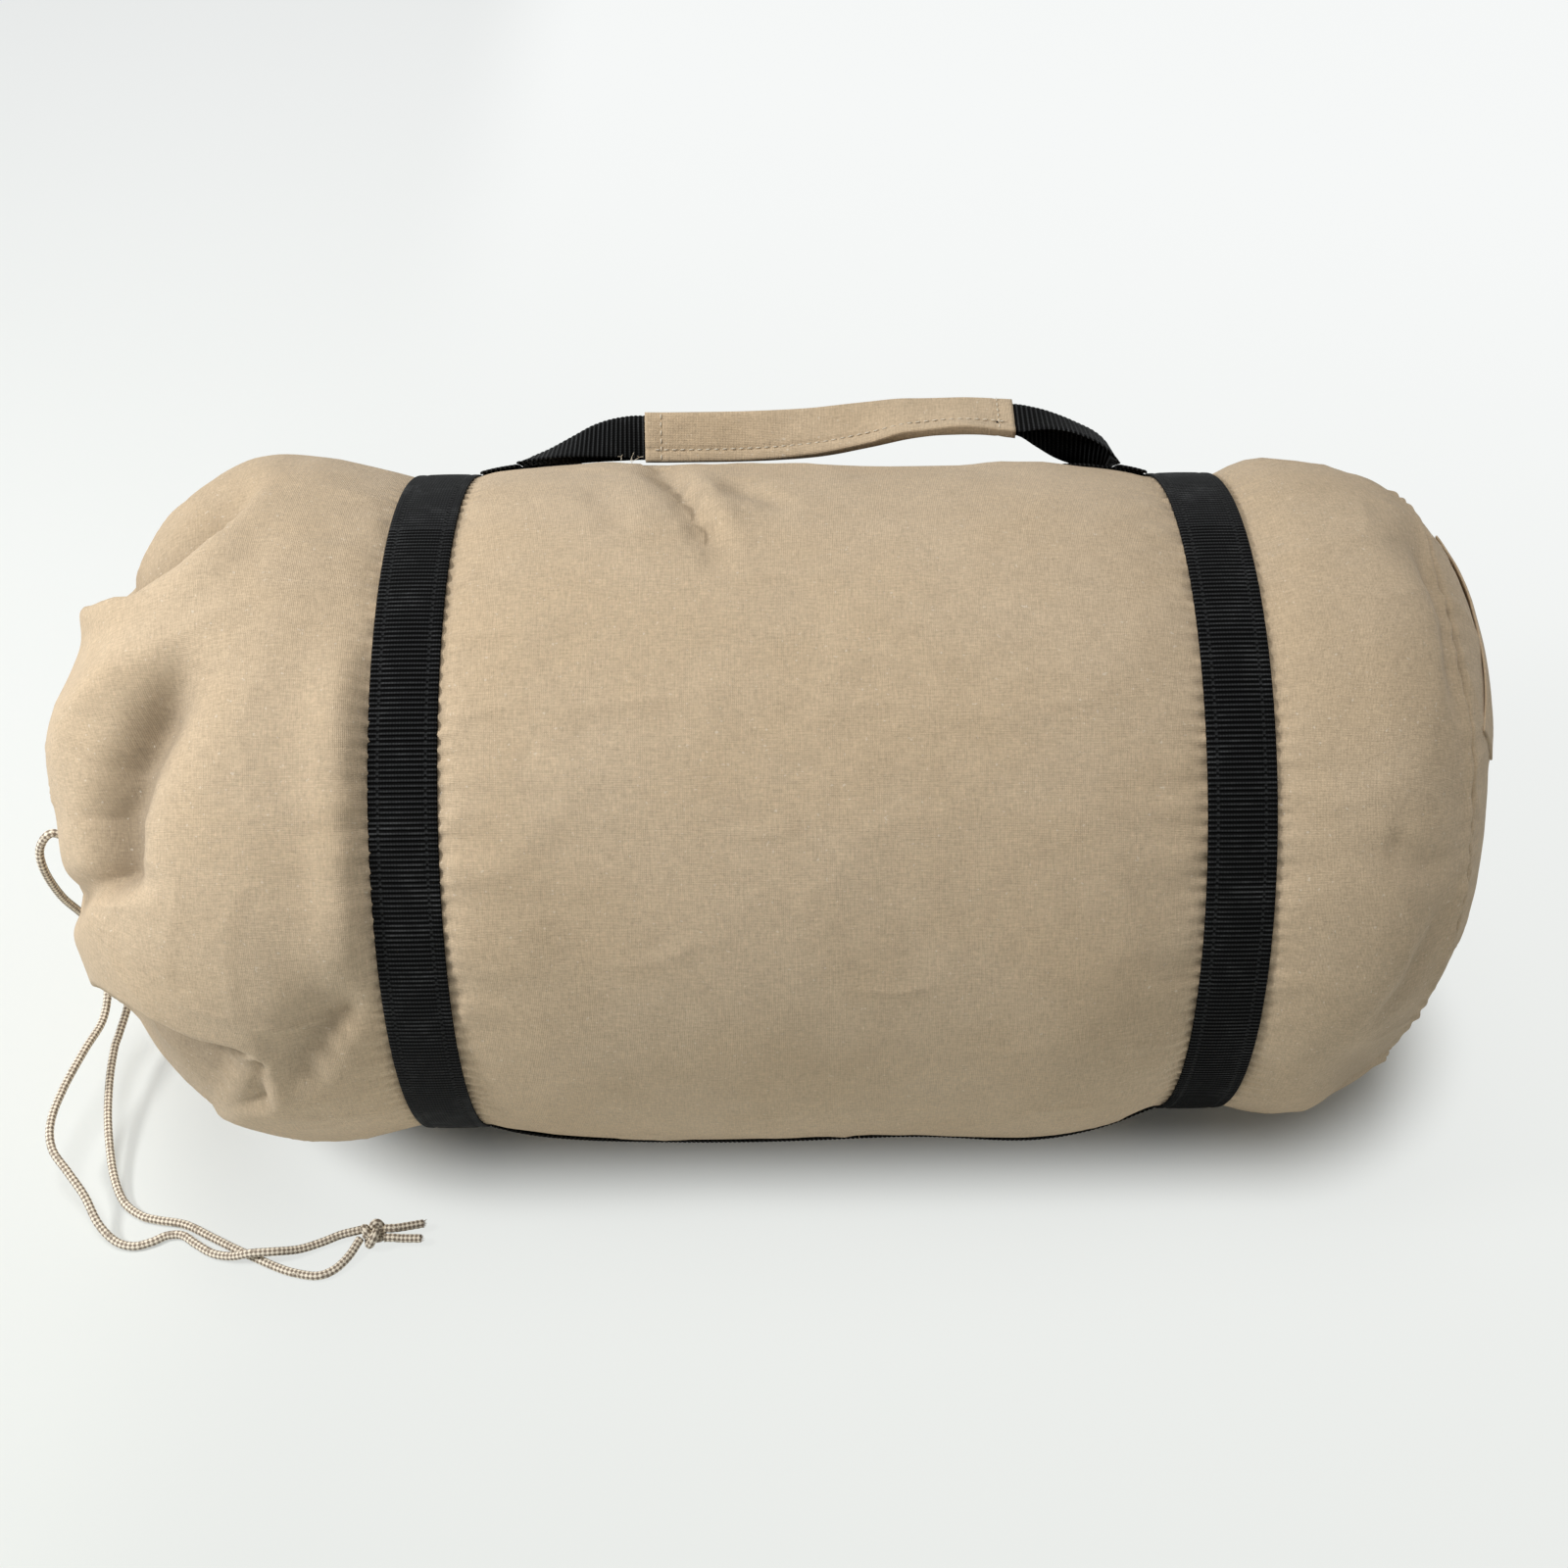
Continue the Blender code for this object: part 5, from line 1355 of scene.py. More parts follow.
@dataclass(frozen=True)
class Handle:
    """Carry handle: webbing folded in half inside a sewn cloth sleeve."""

    line: HandleLine
    ribbon: Ribbon = Ribbon(0.0365)
    fold_radius: float = 0.0009
    sleeve_half: float = 0.0024
    sleeve_wall: float = 0.0006
    overlap: float = 0.012
    edge_seam: float = 0.005
    end_seam: float = 0.0066
    stitches_long: int = 44
    stitches_across: int = 6
    stitch_face: float = 0.00225

    def section(self, x: Array, across: Array, lift: Array) -> Array:
        """Points of the folded webbing.

        Args:
            x: Place along the bag of each row.
            across: Distance from the fold along the webbing, negative on the back wing.
            lift: Distance out of the webbing's middle.

        Returns:
            Points by row and column.
        """
        _, _, spread = self.line.values(x)
        middle = -self.line.width / 4 * np.cos(spread)
        reach = np.abs(across)
        turn_limit = (math.pi / 2 - spread) * self.fold_radius
        bend = np.minimum(reach, np.maximum(turn_limit, 1e-6))
        turned = bend / self.fold_radius
        straight = reach - bend
        radius = self.fold_radius + lift
        wide = np.sign(across) * (radius * np.sin(turned) + straight * np.cos(turned))
        up = radius * np.cos(turned) - self.fold_radius - straight * np.sin(turned)
        up = up - self.line.thickness / 2
        return self.line.tilted(x, wide, up, middle)

    def webbing(self, name: str, start: float, end: float) -> Piece:
        """One visible length of the folded webbing."""
        x, across, height, rib = self.ribbon.relief(end - start, start)
        x = x + 0 * across
        lift = height * (self.ribbon.thickness / 2 - self.ribbon.rib_depth + rib)
        places = self.section(x, across + 0 * x, lift)
        return self.ribbon.sew(places, end - start, name, "handle_webbing", "")

    def end_pad(self, name: str, node: str, start: float, end: float) -> None:
        """Flat sewn end of the webbing."""
        x, across, height, rib = self.ribbon.relief(end - start, start)
        x = x + 0 * across
        up = 0.0001 + (height + 1) / 2 * (self.ribbon.thickness - 0.0002) + rib * (height > 0)
        turn = self.line.angle + across / self.line.strap_top(x)
        places = self.line.shape.polar(x, self.line.strap_top(x) + up, turn)
        self.ribbon.sew(places, end - start, name, node)

    def sleeve(self) -> None:
        """Cloth sleeve round the folded webbing."""
        start, length = self.line.sleeve_x, self.line.sleeve_length
        low, top = -self.line.width / 2 - 0.001, 0.0012
        x = np.linspace(start, start + length, 110)[:, None]
        turns = circle(72)
        across = self.sleeve_half * squared(np.sin(turns), 0.32)
        up = (top + low) / 2 + (top - low) / 2 * squared(np.cos(turns), 0.72)
        wave = lattice_noise(self.line.shape.polar(x, 0.01 + up, 0.5 + turns * 0), 0.013, 51)
        seam = bell(up - low - self.edge_seam, 0.0007)
        ends = bell(x - start - self.end_seam, 0.0008)
        ends = ends + bell(start + length - x - self.end_seam, 0.0008)
        pinch = 1 + 0.16 * wave - 0.22 * seam - 0.20 * ends
        puff = 1 + 0.35 * bell(up - low, 0.003)
        middle = 0 * (x + turns) - self.line.width / 4
        places = self.line.tilted(x + 0 * turns, across * pinch * puff, up + 0 * x, middle)
        mesh = Maker.grid(places, (0.044, length), True)
        bmesh.ops.recalc_face_normals(mesh, faces=mesh.faces)
        Maker.finish(
            mesh, "handle_grip_cloth", "sand_canvas", "bag_cloth", "handle_sleeve", "handle",
            self.sleeve_wall,
        )
        self.stitches(low)

    def stitches(self, low: float) -> None:
        """Cream running stitches: one row along the lower edge and one across each end."""
        mesh = bmesh.new()
        start, length = self.line.sleeve_x, self.line.sleeve_length
        steps = [(k + 0.5) / self.stitches_long for k in range(1, self.stitches_long - 1)]
        spots = [(start + length * step, low + self.edge_seam, True) for step in steps]
        for x in (start + self.end_seam, start + length - self.end_seam):
            spots += [(x, low + 0.002 + 0.0033 * k, False) for k in range(self.stitches_across)]
        for x, up, lengthwise in spots:
            for face in (-1, 1):
                self.stitch(mesh, x, up, face, lengthwise)
        Maker.finish(mesh, "handle_grip_stitches", "cream_thread", body="handle")

    def stitch(self, mesh: Mesh, x: float, up: float, face: int, lengthwise: bool) -> None:
        """One stitch on a face of the sleeve."""
        step = 0.001
        places = np.array((x, x + step * lengthwise)), np.full(2, face * self.stitch_face)
        rises = np.array((up, up + step * (not lengthwise)))
        at, ahead = self.line.tilted(*places, rises, np.full(2, -self.line.width / 4))
        along = Vector(ahead - at).normalized()
        made = bmesh.ops.create_icosphere(mesh, subdivisions=1, radius=1.0)["verts"]
        turn = along.to_track_quat("X", "Z").to_matrix().to_4x4()
        size = Matrix.Diagonal((0.0013, 0.0003, 0.0003, 1.0))
        bmesh.ops.transform(mesh, matrix=Matrix.Translation(Vector(at)) @ turn @ size, verts=made)

    def build(self) -> None:
        """Make the webbing, its sewn ends, the sleeve and the stitches."""
        line = self.line
        first, last = line.shape.between_hoops()
        self.end_pad("handle_left_pad", "handle_end_left", first, line.left_x - SEAT)
        self.end_pad("handle_right_pad", "handle_end_right", line.right_x + SEAT, last)
        left_grip, right_grip = line.sleeve_x, line.sleeve_x + line.sleeve_length
        left = self.webbing("handle_left_webbing", line.left_x, left_grip + self.overlap)
        right = self.webbing("handle_right_webbing", right_grip - self.overlap, line.right_x)
        self.sleeve()
        for piece, x in ((left, (line.left_x, left_grip)), (right, (line.right_x, right_grip))):
            ends = line.point(np.array(x), np.zeros(2), np.zeros(2))
            tuple(ends[0])
            tuple(ends[1])
            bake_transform(piece)


@dataclass(frozen=True)
class Braid:
    """Round braided cord or rope of one diameter."""

    diameter: float
    finish: str
    slot: str

    @staticmethod
    def thinned(path: Array | list[Vector], step: int) -> list[Place]:
        """Every so many points of a path, and its last one."""
        return [tuple(p) for p in path[::step]] + [tuple(path[-1])]

    def tube(self, name: str, node: str, path: Array | list[Vector], sides: int) -> Piece:
        """A length of the braid with closed ends.

        Args:
            name: Name of the piece.
            node: The node of the part that it stands for.
            path: Points along its middle.
            sides: Points round it.

        Returns:
            The finished piece.
        """
        centre = np.array(path)
        along = unit(np.gradient(centre, axis=0))
        across = np.zeros_like(centre)
        guide = np.array((0.0, 0.0, 1.0)) if abs(along[0][2]) < 0.9 else np.array((0.0, 1.0, 0.0))
        for k, ahead in enumerate(along):
            guide = guide - ahead * (guide @ ahead)
            guide = guide / np.linalg.norm(guide)
            across[k] = guide
        other = np.cross(along, across)
        run = lengths_along(centre)
        turns = circle(sides)
        phase = run[:, None] / (self.diameter / 4)
        weave = abs(np.sin(2 * turns + phase)) * abs(np.sin(2 * turns - phase))
        radius = self.diameter / 2 * (0.98 + 0.07 * weave)
        places = centre[:, None] + across[:, None] * (radius * np.cos(turns))[..., None]
        places = places + other[:, None] * (radius * np.sin(turns))[..., None]
        mesh = Maker.grid(places, (math.pi * self.diameter, run[-1]), True, True)
        LOG.info("cord %s: %.4f m", name, run[-1])
        return Maker.finish(mesh, name, self.finish, self.slot, node)


@dataclass(frozen=True)
class Drawcord:
    """The free part of the drawcord: two braided strands, a knot and two tails."""

    shape: BagShape
    diameter: float = 0.0034
    hem_x: float = -0.277
    hem_radius: float = 0.022
    slot_low: float = math.radians(124)
    slot_high: float = math.radians(76)
    knot: Place = (-0.1684, -0.1232, 0.005)
    knot_half: Place = (0.0048, 0.0058, 0.0047)
    length_a: float = 0.39
    length_b: float = 0.35
    tail: float = 0.015
    route_a: tuple = (
        (-280.5, -24, 129), (-286.5, -27, 139), (-292.5, -29, 144), (-298, -30.8, 137.5),
        (-298.5, -32, 126.5), (-298, -25.5, 106), (-297, -12, 80), (-298, -5.5, 56),
        (-298, -10, 38), (-298.5, -23.5, 30), (-302.1, -42.1, 30), (-306.4, -61.7, 28),
        (-307.9, -78.5, 26), (-305.4, -90, 22), (-297.3, -99.4, 18), (-289.4, -107.9, 13),
        (-282.7, -117.5, 7), (-275.1, -123.6, 3), (-267.3, -125.6, 1.9), (-260, -123.6, 1.9),
        (-254.5, -120.5, 1.9), (-248, -120.5, 1.9), (-241.5, -125, 1.9), (-233.3, -130, 1.9),
        (-224.8, -132.2, 3), (-216.5, -132.8, 5.6), (-207.5, -132.2, 5.6), (-198.4, -129.3, 3),
        (-189.8, -125.6, 2.4), (-182, -122.6, 3.4),
    )
    route_b: tuple = (
        (-280, -19.6, 131.2), (-286.5, -15, 125), (-291.2, -10.5, 112), (-292, -6.5, 90),
        (-291.5, -3, 65), (-290.5, -3, 42), (-291.5, -9, 26.5), (-293.5, -23.5, 20.5),
        (-294.2, -30.4, 19), (-293.3, -45.6, 16), (-290.8, -62.9, 12), (-287, -78.7, 8),
        (-282.2, -92.8, 5), (-276.1, -103.4, 2.6), (-267.6, -110, 1.9), (-259.7, -112.5, 1.9),
        (-248, -115, 1.9), (-236, -121.5, 1.9), (-225, -127.6, 1.9), (-214, -133.2, 1.8),
        (-205.5, -137.4, 1.8), (-198.5, -140.1, 1.9), (-189, -141.8, 1.9), (-182.3, -139, 2),
        (-177.2, -133, 2.8),
    )

    @staticmethod
    def smooth(points: list[Vector], spacing: float) -> list[Vector]:
        """Even points on a smooth curve whose first and last spans stay straight."""
        fine = []
        for a, b, c, d in zip(points, points[1:], points[2:], points[3:]):
            for step in range(12):
                t = step / 12
                part = 2 * b + (c - a) * t + (2 * a - 5 * b + 4 * c - d) * t**2
                part += (3 * b - a - 3 * c + d) * t**3
                fine.append(part / 2)
        path = np.array([points[0], *fine, points[-2], points[-1]])
        length = lengths_along(path)[-1]
        count = max(4, round(length / spacing))
        return [Vector(p) for p in points_along(path, np.linspace(0, length, count + 1))]

    def tube(self, name: str, node: str, path: list[Vector], sides: int = 24) -> Piece:
        """A length of this cord along a path."""
        return Braid(self.diameter, "beige_braid", "drawcord").tube(name, node, path, sides)

    def exit(self, angle: float, heading: int) -> list[Vector]:
        """End of the cord in the hem, and a point one diameter further on."""
        turn = angle + heading * SEAT / self.hem_radius
        start = Vector(self.shape.polar(self.hem_x, self.hem_radius, turn))
        along = Vector((0, -math.cos(angle), -math.sin(angle))) * heading
        return [start, start + along * self.diameter]

    def strand(
        self, label: str, route: tuple, head: list[Vector], side: float, rise: float
    ) -> tuple[Piece, list[Vector]]:
        """One strand from the hem to the knot.

        Args:
            label: The strand's letter.
            route: Places that it goes through, in millimetres.
            head: Where it leaves the hem.
            side: Offset at the knot's face, away from the viewer.
            rise: Offset at the knot's face, upwards.

        Returns:
            The piece and its middle line.
        """
        left = self.knot[0] - self.knot_half[0] - 0.0001
        end = Vector((left, self.knot[1] + side, self.knot[2] + rise))
        between = [Vector(p) for p in np.array(route) / 1000]
        into = (end - between[-1]).normalized() * 0.0016
        path = self.smooth(head + between + [end - into, end], 0.00055)
        return self.tube("drawcord_" + label, "drawcord_strand_" + label, path), path

    def knot_wraps(self) -> Piece:
        """Overhand knot of the doubled cord, as a closed winding."""
        centre = Vector(self.knot)
        points = []
        for k in range(180):
            t = 2 * math.pi * k / 180
            x = (math.sin(t) + 2 * math.sin(2 * t)) / 3
            y = (math.cos(t) - 2 * math.cos(2 * t)) / 3
            z = -math.sin(3 * t)
            reach = (self.knot_half[0] - 0.001, self.knot_half[1] - 0.001, 0.0026)
            points.append(centre + Vector((x * reach[0], y * reach[1], z * reach[2])))
        points.append(points[0].copy())
        wave = [(k * 0.0011, 0.0012 * math.sin(k * 0.9), 0) for k in range(-3, 4)]
        piece = self.tube("drawcord_knot_wraps", "drawcord_knot", points, 18)
        inside = [centre + Vector(offset) for offset in wave]
        self.tube("drawcord_knot_heart", "drawcord_knot", inside, 18)
        return piece

    def tail_piece(self, label: str, side: float, rise: float, drift: float) -> Piece:
        """A short tail beyond the knot, frayed at its end."""
        right = self.knot[0] + self.knot_half[0] + 0.0001
        start = Vector((right, self.knot[1] + side, self.knot[2] + rise))
        middle = start + Vector((self.tail * 0.45, drift * 0.3, -0.0006))
        end = start + Vector((self.tail, drift, -0.0014 - rise))
        into = Vector((self.diameter, 0, 0))
        path = self.smooth([start, start + into, middle + into * 0.2, end], 0.0005)
        piece = self.tube("drawcord_end_" + label, "drawcord_tail_" + label, path)
        self.fray(label, path)
        return piece

    def fray(self, label: str, path: list[Vector]) -> None:
        """Loose fibres at the cut end of a tail."""
        mesh = bmesh.new()
        end, along = path[-1], (path[-1] - path[-4]).normalized()
        rng = np.random.default_rng(7 if label == "a" else 8)
        for _ in range(26):
            swing = rng.uniform(0, 2 * math.pi)
            spread = rng.uniform(0.1, 0.8)
            side = Vector((0, math.cos(swing), math.sin(swing)))
            heading = (along + side * spread).normalized()
            root = end + side * rng.uniform(0.0002, 0.0014) - along * 0.0004
            Maker.fibre(mesh, root, heading, rng.uniform(0.0008, 0.0022), (0.00013, 0.00005))
        for vert in mesh.verts:
            vert.co.z = max(vert.co.z, 0.0001)
        Maker.finish(mesh, "drawcord_fray_" + label, "fray_thread")

    def build(self) -> None:
        low, high = self.exit(self.slot_low, -1), self.exit(self.slot_high, 1)
        strand_a, path_a = self.strand("a", self.route_a, low, 0.0019, 0.0)
        strand_b, path_b = self.strand("b", self.route_b, high, -0.0022, -0.0006)
        knot = self.knot_wraps()
        tail_a = self.tail_piece("a", 0.0021, 0.0004, 0.0036)
        tail_b = self.tail_piece("b", -0.0019, -0.0006, 0.0)
        for piece, path, length, going in (
            (strand_a, path_a, self.length_a, [knot, tail_a, tail_b]),
            (strand_b, path_b, self.length_b, [knot]),
        ):
            tuple(path[0])
            Braid.thinned(path, 4)
            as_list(going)


@dataclass(frozen=True)
class MouthHem:
    """Gathered hem channel of the drawn mouth and the cord inside it."""

    shape: BagShape
    cord: Drawcord
    rows: int = 330
    tube_radius: float = 0.006
    bore_radius: float = 0.0027
    slot_angle: float = math.radians(100)
    slot_half: float = math.radians(24)

    def build(self) -> None:
        """Make the hem and its cord."""
        angle = self.slot_angle + np.linspace(
            self.slot_half, 2 * math.pi - self.slot_half, self.rows
        )[:, None]
        turns = circle(40)
        drift = lattice_noise(self.shape.ring(angle, self.cord.hem_radius), 0.008, 61)
        gather = np.cos(27 * angle + 2.5 * drift) * 0.5 + 0.5
        fold = 0.0013 * gather**1.6 * (0.75 + 0.25 * np.cos(turns + drift * 3))
        lean = 0.001 * np.sin(13 * angle + 2 * drift)
        faces = []
        for radius in (self.tube_radius - fold, np.full_like(fold, self.bore_radius)):
            reach = self.cord.hem_radius + radius * np.cos(turns)
            x = self.cord.hem_x + radius * np.sin(turns) + lean * (radius / self.tube_radius)
            faces.append(self.shape.polar(x, reach, angle))
        mesh = Maker.grid(faces[0], (0.034, 0.13), True)
        bore = Maker.grid(faces[1][:, ::-1], (0.015, 0.13), True)
        data = bpy.data.meshes.new("bore")
        bore.to_mesh(data)
        bore.free()
        mesh.from_mesh(data)
        bpy.data.meshes.remove(data)
        rims = [edge for edge in mesh.edges if edge.is_boundary]
        middle = self.shape.axis_height - 0.004
        for above in (False, True):
            group = [edge for edge in rims if (edge.verts[0].co.z >= middle) == above]
            bmesh.ops.bridge_loops(mesh, edges=group)
        bmesh.ops.recalc_face_normals(mesh, faces=mesh.faces)
        Maker.finish(mesh, "mouth_hem_cloth", "sand_canvas", "bag_cloth", "mouth_hem")
        path = self.shape.polar(self.cord.hem_x, self.cord.hem_radius, angle[:, 0])
        self.cord.tube("drawcord_inside_hem", "drawcord_in_hem", [Vector(p) for p in path], 16)


@dataclass(frozen=True)
class GrabLoop:
    """Cloth loop sewn across the closed end."""

    shape: BagShape
    start: tuple[float, float] = (0.096, 0.004)
    end: tuple[float, float] = (0.03, 0.08)
    width: float = 0.025
    thickness: float = 0.0016
    puff: float = 0.0004

    def build(self) -> None:
        """Make the loop."""
        near = np.array((-math.sin(VIEWER), math.cos(VIEWER)))
        level = np.array((math.cos(VIEWER), math.sin(VIEWER)))
        first, last = (near * u + level * v for u, v in (self.start, self.end))
        heading = unit(last - first)
        across = np.array((-heading[1], heading[0]))
        share = np.linspace(0, 1, 90)[:, None]
        turns = circle(44)
        side = squared(np.cos(turns), 0.55) * self.width / 2
        face = squared(np.sin(turns), 0.5)
        spot = first + share[..., None] * (last - first) + side[..., None] * across
        ratio = np.clip(np.linalg.norm(spot, axis=-1) / self.shape.right_bulge, 0, 0.999)
        swing = np.arccos(ratio ** (self.shape.right_power / 2))
        x, _ = self.shape.end_dome(swing)
        away = unit(spot) * np.cos(swing)[..., None]
        out = unit(np.concatenate((np.sin(swing)[..., None], away), axis=-1))
        base = np.stack((x, spot[..., 0], self.shape.axis_height + spot[..., 1]), axis=-1)
        base = base + self.shape.lean(x)
        lift = self.puff * (1 - (2 * share - 1) ** 4) + SEAT
        seam = 1 - 0.35 * bell(abs(side) / (self.width / 2) - 0.82, 0.05)
        wave = 0.0003 * lattice_noise(base, 0.012, 71)
        height = lift + wave + self.thickness * (0.5 + 0.5 * face * seam)
        mesh = Maker.grid(base + out * height[..., None], (0.056, 0.1), True, True)
        Maker.finish(mesh, "end_loop_cloth", "sand_canvas", "bag_cloth", "end_grab_loop")


@dataclass(frozen=True)
class CanopyRoll:
    """The canopy, folded to a long strip and rolled up from one end."""

    core: float = 0.012
    outer: float = 0.100
    turns: int = 8
    length: float = 0.385
    centre_x: float = 0.018
    height: float = 0.1053
    gap: float = 0.001
    layers: int = 5
    rows_per_turn: int = 40
    strip_length: float = 2.815

    def pitch(self) -> float:
        """How far the roll grows in one turn."""
        return (self.outer - self.core) / self.turns

    def surface(self, angle: float) -> float:
        """Radius of the outer layer at an angle from straight up."""
        return self.outer - self.pitch() * ((math.pi - angle) % (2 * math.pi)) / (2 * math.pi)

    def beside(self, angle: float, x: float, along: Array, across: Array, out: Array) -> Array:
        """Points beside the roll.

        Args:
            angle: Angle round the roll.
            x: Place along the bag of the origin.
            along: Offset along the bag.
            across: Offset across the roll.
            out: Height over the roll's surface.

        Returns:
            Rows of X, Y and Z.
        """
        outward = np.array((0, -math.sin(angle), math.cos(angle)))
        sideways = np.array((0, -math.cos(angle), -math.sin(angle)))
        middle = np.array((x, 0, self.height))
        reach = self.surface(angle) + out
        shift = along[:, None] * np.array((1.0, 0.0, 0.0))
        return middle + shift + across[:, None] * sideways + reach[:, None] * outward

    def section(self) -> tuple[Array, Array]:
        """The strip's section: place along the bag and height, with its folded layers."""
        thick = self.pitch() - self.gap
        half, rim = self.length / 2, thick / 2
        flat = np.linspace(-half + 0.002, half - 0.002, 26)
        edge_x, edge_height = [], []
        for k in range(self.layers):
            middle = rim - thick * (k + 0.5) / self.layers
            for step, inset in ((0.30, 0.0004), (0.0, 0.0), (-0.30, 0.0004), (-0.5, 0.0016)):
                edge_x.append(half - inset)
                edge_height.append(middle + step * thick / self.layers)
        edge_x, edge_height = np.array(edge_x[:-1]), np.array(edge_height[:-1])
        face = np.full(26, rim - 0.0003)
        along = np.concatenate((flat, edge_x, flat[::-1], -edge_x[::-1]))
        height = np.concatenate((face, edge_height, -face, edge_height[::-1]))
        return along, height

    def build(self) -> Piece:
        """Make the roll as one unbroken spiral."""
        along, height = self.section()
        steps = np.arange(self.turns * self.rows_per_turn + 1)[:, None] / self.rows_per_turn
        middle = self.core - (self.pitch() - self.gap) / 2 + self.pitch() * steps
        turn = 2 * math.pi * steps + math.pi
        radius = middle + height
        x = self.centre_x + along + 0 * radius
        flat = np.stack((x, middle * 4 + 0 * x, 0.02 * np.cos(turn) + 0 * x), axis=-1)
        radius = radius + 0.0003 * lattice_noise(flat, 0.03, 81)
        y, z = -radius * np.sin(turn), self.height + radius * np.cos(turn)
        places = np.stack((x, y, z), axis=-1)
        run = 2 * math.pi * float(middle.mean()) * self.turns
        mesh = Maker.grid(places, (2 * self.length + 0.024, run), True, True)
        LOG.info("canopy roll: strip %.3f m long", run)
        name, finish = "canopy_rolled_cloth", "canopy_canvas"
        return Maker.finish(mesh, name, finish, "canopy_cloth", "canopy_roll")

    def declare(self, piece: Piece, sewn: list[Piece]) -> None:
        """Takes the roll and its corner loops, and does nothing with them."""


@dataclass(frozen=True)
class CornerLoops:
    """Folded webbing loops at the six corners of the canopy, each with its steel ring."""

    roll: CanopyRoll
    ribbon: Ribbon = Ribbon(0.02, 0.0014, rib_depth=0.0002)
    count: int = 6
    circle: float = 0.046
    length: float = 0.026
    eye: float = 0.008

    def outline(self) -> Array:
        """Closed middle line of a loop from the side, as rows of X and Z."""
        half = self.eye / 2 + self.ribbon.thickness / 2
        turn_x = -self.length + self.eye / 2 + self.ribbon.thickness
        root = -self.ribbon.thickness / 2
        swing = np.linspace(math.pi / 2, 3 * math.pi / 2, 25)
        bend = np.stack((turn_x + half * np.cos(swing), half * np.sin(swing)), axis=-1)
        return np.concatenate(([(root, 0.0), (root, half)], bend, [(root, -half), (root, 0.0)]))

    def loop(self, number: int, centre: Array) -> Piece:
        """One loop at the place of its root."""
        line = self.outline()
        length = lengths_along(line)[-1]
        at, across, height, rib = self.ribbon.relief(length)
        path = points_along(line, at[:, 0] / at[-1] * length)[:-1]
        ahead = unit(np.roll(path, -2, axis=0) - np.roll(path, 2, axis=0))
        out = height * (self.ribbon.thickness / 2 - self.ribbon.rib_depth + rib[:-1])
        x = path[:, :1] - ahead[:, 1:] * out
        z = path[:, 1:] + ahead[:, :1] * out
        places = centre + np.stack((x, across + 0 * x, z), axis=-1)
        mesh = Maker.ring(places, length, 2 * self.ribbon.width)
        name, node = f"corner_webbing_{number}", f"corner_loop_{number}"
        return Maker.finish(mesh, name, "black_ribbed_webbing", "black_webbing", node)

    def build(self) -> list[Piece]:
        """Make the loops."""
        made, x = [], self.roll.centre_x - self.roll.length / 2 - SEAT
        for k in range(self.count):
            turn = 2 * math.pi * (k + 0.5) / self.count
            y, z = self.circle * math.sin(turn), self.roll.height + self.circle * math.cos(turn)
            made.append(self.loop(k + 1, np.array((x, y, z))))
        return made


@dataclass(frozen=True)
class PegPouch:
    """Slack cloth pouch for the pegs, gathered at its open neck."""

    roll: CanopyRoll
    centre_x: float = 0.02
    length: float = 0.245
    half_width: float = 0.036
    half_height: float = 0.016
    wall: float = 0.0009
    mouth_scale: float = 0.62
    neck: float = 0.03
    closing: float = 0.009

    def build(self) -> None:
        """Make the pouch."""
        left = self.centre_x - self.length / 2
        near = left + self.neck * np.linspace(0, 1, 14)
        main = np.linspace(left + self.neck, left + self.length - self.closing, 26)[1:]
        far = left + self.length - self.closing * (1 - np.sin(np.linspace(0, 1.45, 8)[1:]))
        x = np.concatenate((near, main, far))[:, None]
        turn = circle(96)
        open_share = 1 - smooth_step(x, left, left + self.neck)
        shut = np.sqrt(np.clip((left + self.length + 0.0004 - x) / self.closing, 0, 1))
        gather = 1 + 0.05 * open_share * np.cos(15 * turn + 2 * np.sin(turn))
        wide = self.half_width * (1 - (1 - self.mouth_scale) * open_share) * gather
        y = -wide * squared(np.sin(turn), 0.6) * (0.8 + 0.2 * shut)
        z = self.half_height * squared(np.cos(turn), 0.6) * (0.4 + 0.6 * shut)
        flat = np.stack((x + 0 * y, y, 0.01 * z), axis=-1)
        slack = 0.80 + 0.12 * lattice_noise(flat, 0.022, 91) + 0.05 * lattice_noise(flat, 0.008, 92)
        z = np.where(z > 0, z * slack, z)
        base = self.roll.height + self.roll.surface(0.0) + SEAT + self.half_height
        places = np.stack((x + 0 * y, y, base + z), axis=-1)
        mesh = Maker.grid(places, (0.19, self.length), True)
        Maker.seal(mesh, self.centre_x)
        Maker.finish(
            mesh, "peg_pouch_cloth", "canopy_canvas", "bag_cloth", "peg_pouch", wall=self.wall
        )


@dataclass(frozen=True)
class Hank:
    """One guy rope: how thick and long it is and where its hank lies on the roll."""

    node: str
    runner: str
    diameter: float
    turns: int
    angle: float
    x: float
    length: float
    finish: str


